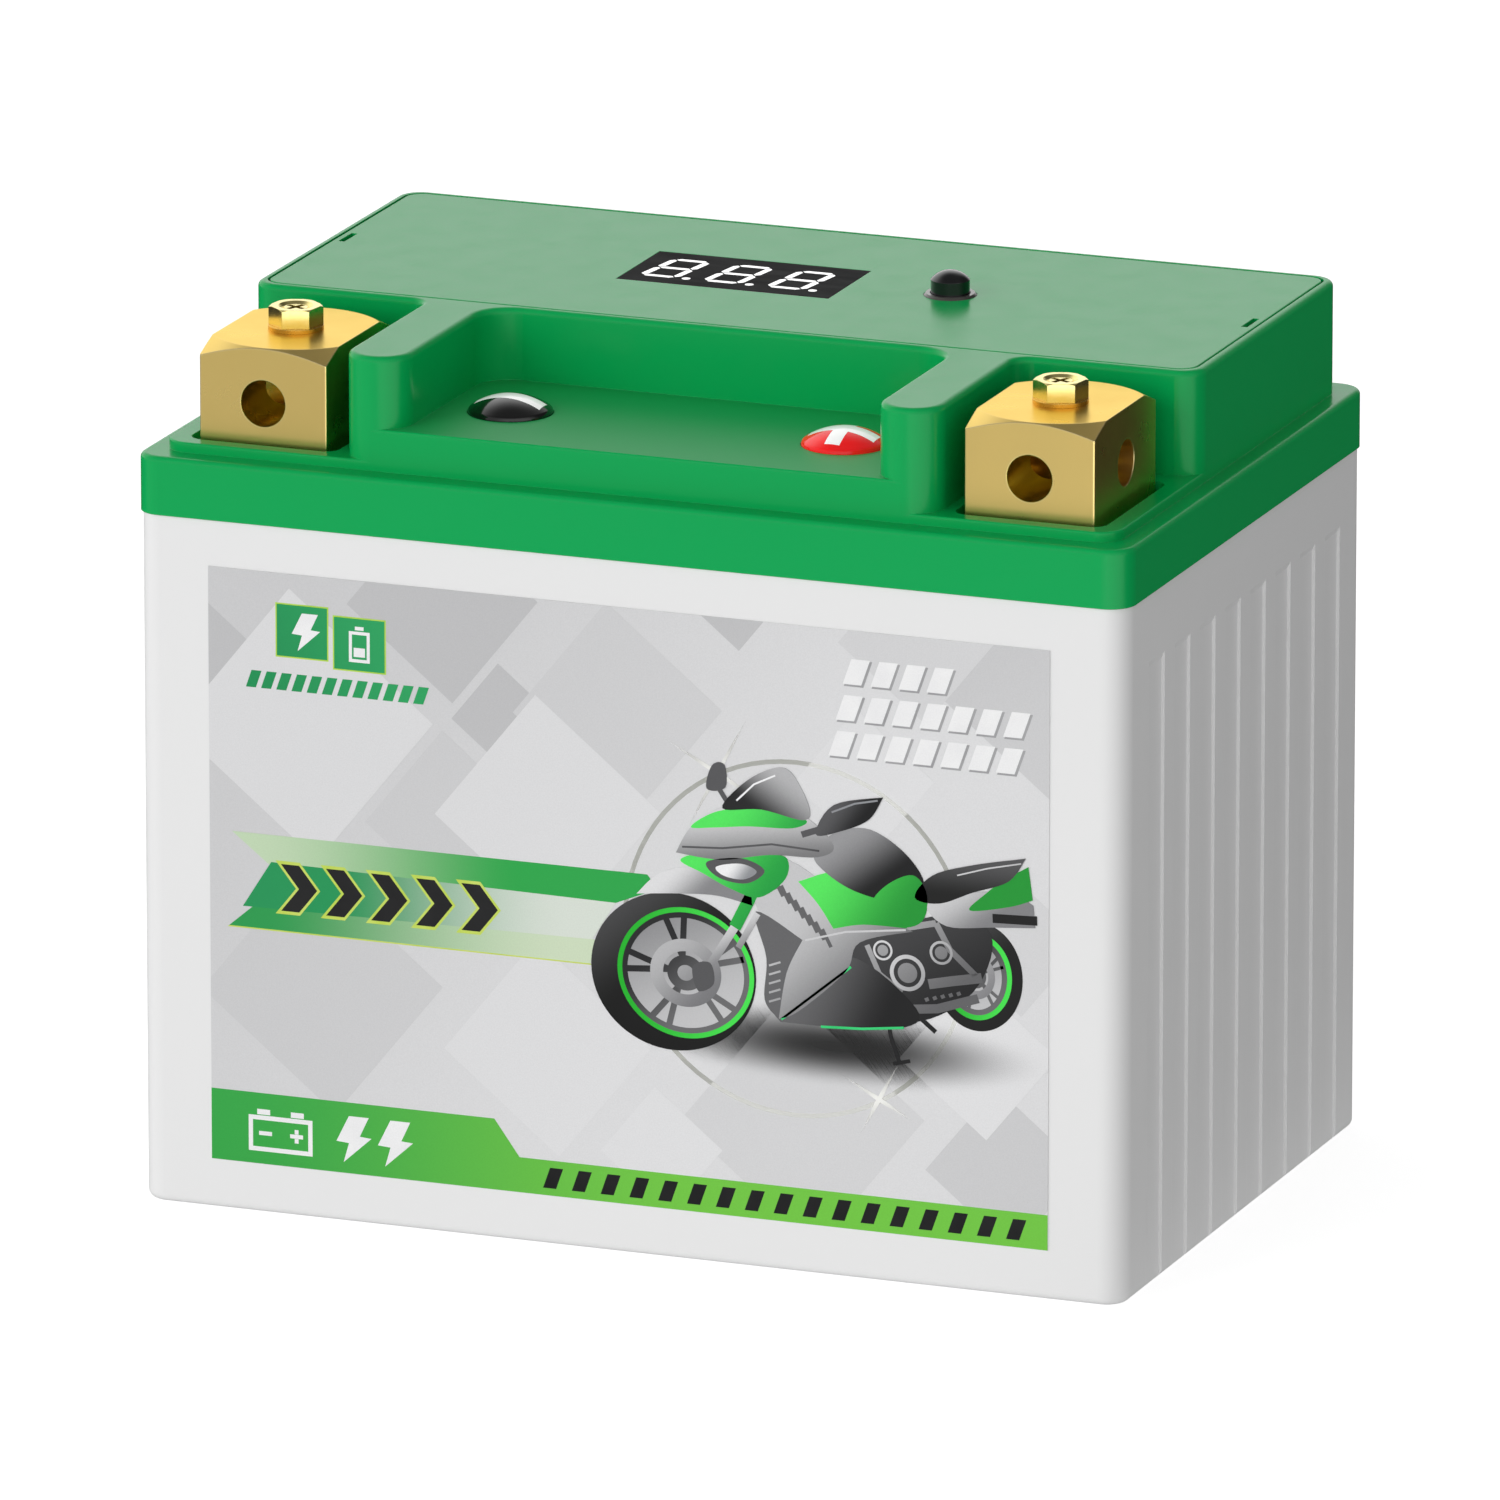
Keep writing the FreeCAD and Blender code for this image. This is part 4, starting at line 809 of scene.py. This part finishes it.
def bike_body():
    """Side fairing, belly, tank, seat and tail."""
    side = bike_ink("ink_side", (0.62, 0.62, 0.63), (0.10, 0.10, 0.105), (13, 8), (23, -2))
    belly = bike_ink("ink_belly", (0.14, 0.14, 0.145), (0.008, 0.008, 0.009), (14, 0), (24, -4))
    green = bike_ink("ink_panel", (0.100, 0.900, 0.120), (0.008, 0.330, 0.030), (16, 12), (25, 6))
    trim = bike_ink("ink_green_line", (0.03, 0.65, 0.18), (0.04, 0.75, 0.22))
    gloss = bike_ink("ink_tank", (0.34, 0.34, 0.35), (0.006, 0.006, 0.007), (20, 17.6), (24, 12.5))
    cover = bike_ink("ink_seat", (0.09, 0.09, 0.093), (0.006, 0.006, 0.006), (34, 16), (34, 11.5))
    pale = bike_ink("ink_tail", (0.66, 0.66, 0.67), (0.24, 0.24, 0.25), (33, 13), (36, 9))
    bike_plates("belly", 17, belly, [
        [(11.4, -2.6), (12.2, -4.3, 0), (19.0, -4.2), (26.4, -3.4), (27.6, -1.2), (20.8, 3.6), (14.0, 2.0)]])
    bike_strokes("belly_line", 18, trim, [
        ([(12.3, -4.0), (16.0, -0.9), (20.2, 2.6)], 0.28),
        ([(16.8, -4.35), (21.5, -4.1), (26.2, -3.5)], 0.28)])
    bike_plates("side_fairing", 18, side, [
        [(9.6, 7.8), (10.2, 11.8), (13.2, 13.6), (20.0, 9.8), (27.2, 7.2, 0), (21.2, 5.4), (19.6, 2.0),
         (14.4, -2.8), (12.0, -4.0, 0), (12.9, 1.2), (14.6, 4.9, 0)]])
    bike_plates("side_duct", 19, belly, [
        [(9.4, 7.6), (10.6, 2.6), (10.4, -2.0), (12.0, -4.0, 0), (12.9, 1.2), (14.7, 5.0, 0)]])
    bike_strokes("duct_bars", 20, side, [([(10.9, -2.2 + i), (12.2, -1.7 + i)], 0.22) for i in range(5)])
    bike_strokes("side_louvres", 19, belly, [
        ([(10.7 + 0.78 * i, 12.2 - 0.72 * i), (11.7 + 0.78 * i, 10.3 - 0.72 * i)], 0.42) for i in range(9)])
    bike_plates("side_panel", 19, green, [
        [(14.2, 11.4, 0), (19.4, 13.0), (23.4, 10.2), (26.6, 7.5, 0), (21.6, 7.4), (18.2, 6.6, 0),
         (16.4, 9.2)]])
    bike_strokes("side_light", 20, pale, [([(15.0, 5.0), (19.6, 6.4), (26.4, 7.3)], 0.22)])
    bike_plates("tank", 20, gloss, [
        [(16.0, 14.6), (18.4, 17.2), (22.4, 17.9), (26.6, 15.4), (28.4, 12.2), (25.0, 10.4), (20.6, 11.0),
         (17.2, 12.8)]])
    bike_plates("tank_green", 21, green, [
        [(22.6, 9.6), (24.2, 12.0), (27.2, 13.4), (28.8, 11.4), (28.2, 8.4), (25.4, 7.6)]])
    bike_plates("tail", 19, pale, [
        [(28.8, 10.4), (33.0, 12.0), (38.2, 12.6), (40.8, 11.4, 0), (41.0, 9.0, 0), (36.4, 8.6),
         (31.0, 8.2)]])
    bike_plates("tail_green", 20, green, [
        [(35.4, 12.2), (37.6, 14.0), (40.2, 15.6, 0), (40.7, 12.0, 0), (38.0, 11.0), (33.6, 10.2)]])
    bike_plates("seat", 21, cover, [
        [(27.4, 11.0), (29.4, 13.6), (34.0, 15.2), (39.9, 16.5, 0), (38.0, 13.8), (34.0, 12.2),
         (30.2, 10.6)]])
    bike_strokes("seat_line", 22, pale, [([(32.2, 13.9), (35.6, 15.0), (39.4, 15.9)], 0.16)])
    bike_strokes("tail_lamp", 21, cover, [([(36.2, 9.6), (41.2, 9.8)], 1.0)])


def bike_front():
    """Fork, mudguard, nose, lamp, screen and mirrors."""
    steel = bike_ink("ink_fork", (0.74, 0.74, 0.75), (0.26, 0.26, 0.27), (3, 4), (5, 1))
    green = bike_ink("ink_nose_green", (0.090, 0.880, 0.120), (0.008, 0.380, 0.050), (3, 14), (11, 9))
    pale = bike_ink("ink_nose", (0.70, 0.70, 0.71), (0.20, 0.20, 0.205), (7, 18.5), (8, 12.6))
    guard = bike_ink("ink_guard", (0.80, 0.80, 0.81), (0.26, 0.26, 0.27), (0, 11.4), (3, 8.4))
    glass = bike_ink("ink_screen", (0.50, 0.50, 0.51), (0.015, 0.015, 0.016), (12.5, 23.2), (9.5, 18.6))
    black = bike_ink("ink_front_black", (0.10, 0.10, 0.105), (0.006, 0.006, 0.007), (18, 20), (21, 18))
    lamp = bike_ink("ink_lamp", (0.96, 0.96, 0.97), (0.30, 0.31, 0.33), (6.4, 12.4), (8.4, 11.0))
    bike_strokes("fork", 19, steel, [
        ([(8.2, 7.6), (5.6, 3.4), (3.0, -0.8)], 0.95), ([(9.6, 7.4), (7.4, 3.4)], 0.7)])
    bike_strokes("fork_green", 20, green, [([(9.4, 10.4), (7.0, 5.6)], 1.35)])
    bike_plates("caliper", 20, black, [[(2.2, 0.8), (4.2, 1.4), (4.6, -0.9), (2.8, -1.8)]])
    bike_plates("mudguard", 20, guard, [
        [(-4.2, 8.2, 0), (-1.4, 10.8), (3.4, 11.9), (8.2, 10.6), (9.0, 8.2, 0), (5.0, 8.9), (0.6, 8.7)]])
    bike_plates("nose_under", 21, green, [
        [(0.8, 12.4), (3.4, 11.2), (6.6, 9.8), (9.8, 9.2), (12.8, 11.6), (12.6, 14.0), (8.0, 13.6),
         (3.4, 13.4)]])
    bike_plates("lamp_frame", 22, black, [[(3.8, 12.5), (7.8, 13.3), (10.4, 12.2), (8.4, 10.6), (5.2, 10.9)]])
    bike_plates("lamp_glass", 23, lamp, [[(4.9, 12.1), (7.7, 12.7), (9.5, 12.0), (8.0, 11.0), (5.7, 11.2)]])
    bike_plates("nose", 22, pale, [
        [(0.3, 13.2, 0), (2.0, 16.2), (5.2, 18.6), (9.6, 19.6), (14.6, 18.8), (18.2, 15.8), (16.4, 14.3),
         (11.0, 14.0), (5.4, 12.9)]])
    bike_plates("nose_stripe", 23, green, [
        [(2.0, 16.2), (5.0, 18.2), (9.6, 18.9), (15.0, 18.3), (13.6, 17.2), (8.6, 16.9), (4.8, 16.4)]])
    bike_strokes("nose_line", 23, black, [([(1.0, 13.9), (5.6, 14.2), (11.2, 15.2), (16.6, 15.0)], 0.22)])
    bike_plates("screen", 24, glass, [
        [(5.6, 18.6), (8.0, 21.6), (11.2, 23.5), (13.4, 23.3), (15.4, 19.8), (14.8, 18.2), (10.0, 18.9)]])
    bike_strokes("screen_light", 25, lamp, [([(7.2, 19.6), (9.2, 21.6), (11.6, 22.8)], 0.2)])
    bike_plates("mirrors", 24, black, [
        [(16.2, 16.8), (18.2, 20.2), (23.8, 21.6, 0), (22.2, 19.0), (19.0, 17.4)],
        [(3.8, 20.6), (4.4, 23.2), (5.8, 23.4), (5.9, 20.9)]])
    bike_strokes("mirror_light", 25, lamp, [([(18.0, 19.4), (20.6, 20.6), (23.2, 21.2)], 0.2)])
    bike_strokes("mirror_arms", 23, black, [
        ([(14.6, 16.6), (17.2, 17.6)], 0.7), ([(5.0, 21.0), (6.2, 19.2)], 0.5)])


def make_bike():
    bike_wheel("rear", 8, (34.6, 3.0), (5.0, 6.0), -0.2, 0.80, 5)
    bike_drive()
    bike_body()
    bike_wheel("front", 13, (0.0, 0.0), (9.4, 8.7), 1.4, 0.83, 5)
    bike_front()


def make_label():
    label_facets()
    label_band()
    label_symbols()
    label_banner()
    label_glow()
    make_bike()


# ---- studio --------------------------------------------------------------
def make_world():
    """Soft studio surround: a bright band at the horizon that differs by side, and a dimmer zenith."""
    n = Nodes("studio", world=True)
    bpy.context.scene.world = n.material
    x, y, z = n.axis("X"), n.axis("Y"), n.axis("Z")
    band = n.spread(z, 1.0, 0.0, SKY_LOW, SKY_HIGH, smooth=True)
    front_back = n.spread(y, SKY_FRONT, SKY_BACK, -0.9, 0.9, smooth=True)
    side_share = n.spread(x, 1.0, SKY_RIGHT_SHARE, 0.05, 0.95, smooth=True)
    falling = n.math("MULTIPLY", n.math("MULTIPLY", front_back, side_share), band)
    falling = n.math("MAXIMUM", falling, SKY_ZENITH)

    shine_front = n.spread(x, SHINE_FRONT_LEFT, SHINE_FRONT_RIGHT, -0.45, 0.25, smooth=True)
    shine_back = n.spread(x, SHINE_BACK, SHINE_SIDE, -0.20, 0.35, smooth=True)
    shine = n.mix(n.spread(y, 0.0, 1.0, -0.45, 0.35, smooth=True), shine_front, shine_back)
    shine = n.mix(n.spread(z, 1.0, 0.0, SHINE_LOW, SHINE_HIGH, smooth=True), SHINE_ABOVE, shine)

    strength = n.mix(n.ray("Is Glossy Ray"), falling, shine)
    strength = n.mix(n.ray("Is Camera Ray"), strength, 1.0)
    background = n.tree.nodes.new("ShaderNodeBackground")
    n.link(strength, background.inputs["Strength"])
    n.link(background.outputs["Background"], n.output.inputs["Surface"])


def floor_material():
    """Pale floor: near white with a soft contact shadow to the camera, and a soft glow towards the object."""
    n = Nodes("floor_paint")
    grain = n.noise(60.0, 2.0)
    x, y = n.axis("X"), n.axis("Y")
    to_side = n.math("MULTIPLY", n.spread(x, 0.0, 1.0, 0.03, 0.12, smooth=True),
                     n.spread(y, 0.0, 1.0, -0.14, 0.00, smooth=True))
    side_share = n.mix(to_side, 1.0, FLOOR_SIDE_SHARE)
    back_share = n.spread(y, 1.0, FLOOR_BACK_SHARE, -0.04, 0.20, smooth=True)
    glow = n.math("MULTIPLY", n.math("MULTIPLY", side_share, back_share), FLOOR_GLOW)
    shine = n.spread(x, FLOOR_SHINE_LEFT, FLOOR_SHINE_RIGHT, -0.05, 0.09, smooth=True)
    shine = n.mix(n.spread(y, 0.0, 1.0, -0.16, -0.02, smooth=True), shine, FLOOR_SHINE_BACK)
    seen = n.ray("Is Camera Ray")
    base = n.blend(seen, (0.0, 0.0, 0.0), (0.80, 0.80, 0.80))
    strength = n.mix(seen, n.mix(n.ray("Is Glossy Ray"), glow, shine), FLOOR_LIFT)
    return n.surface(Base_Color=base, Roughness=0.9, Specular_IOR_Level=0.0, Emission_Color=(1.0, 1.0, 1.0),
                     Emission_Strength=strength, Normal=n.bump(grain, 0.0001))


def make_floor():
    half = FLOOR_HALF
    data = bpy.data.meshes.new("floor")
    corners = [(-half, -half, 0), (half, -half, 0), (half, half, 0), (-half, half, 0)]
    data.from_pydata(corners, [], [(0, 1, 2, 3)])
    data.materials.append(floor_material())
    floor = bpy.data.objects.new("floor", data)
    bpy.context.scene.collection.objects.link(floor)


def add_softbox(name, place, size, power):
    """Large area light aimed at the middle of the battery."""
    light = bpy.data.lights.new(name, "AREA")
    light.shape = "RECTANGLE"
    light.size, light.size_y = size
    light.energy = power
    thing = bpy.data.objects.new(name, light)
    thing.visible_glossy = False
    bpy.context.scene.collection.objects.link(thing)
    thing.location = place
    aim = Vector((0.0, 0.0, 0.05)) - Vector(place)
    thing.rotation_mode = "QUATERNION"
    thing.rotation_quaternion = aim.to_track_quat("-Z", "Y")


def make_lights():
    add_softbox("key", (-0.9, -1.5, 0.9), (0.9, 0.6), 4.0)
    add_softbox("top", (-0.2, 0.3, 1.6), (1.2, 0.8), 2.0)


def make_camera():
    """Camera at the wanted angle, aimed a little above the middle of the base."""
    az, el = CAMERA_AZIMUTH, CAMERA_ELEVATION
    forward = Vector((-math.sin(az) * math.cos(el), math.cos(az) * math.cos(el), -math.sin(el)))
    right = Vector((math.cos(az), math.sin(az), 0.0))
    up = right.cross(forward)
    data = bpy.data.cameras.new("camera")
    data.lens = CAMERA_LENS
    data.sensor_width = 36.0
    data.clip_start = 0.1
    data.clip_end = 100.0
    camera = bpy.data.objects.new("camera", data)
    bpy.context.scene.collection.objects.link(camera)
    place = right * CAMERA_AIM_RIGHT + up * CAMERA_AIM_UP - forward * CAMERA_DISTANCE
    camera.matrix_world = Matrix((
        (right.x, up.x, -forward.x, place.x),
        (right.y, up.y, -forward.y, place.y),
        (right.z, up.z, -forward.z, place.z),
        (0.0, 0.0, 0.0, 1.0)))
    bpy.context.scene.camera = camera


bpy.context.scene.view_settings.view_transform = "Standard"
dress_nodes()
make_label()
make_world()
make_floor()
make_lights()
make_camera()
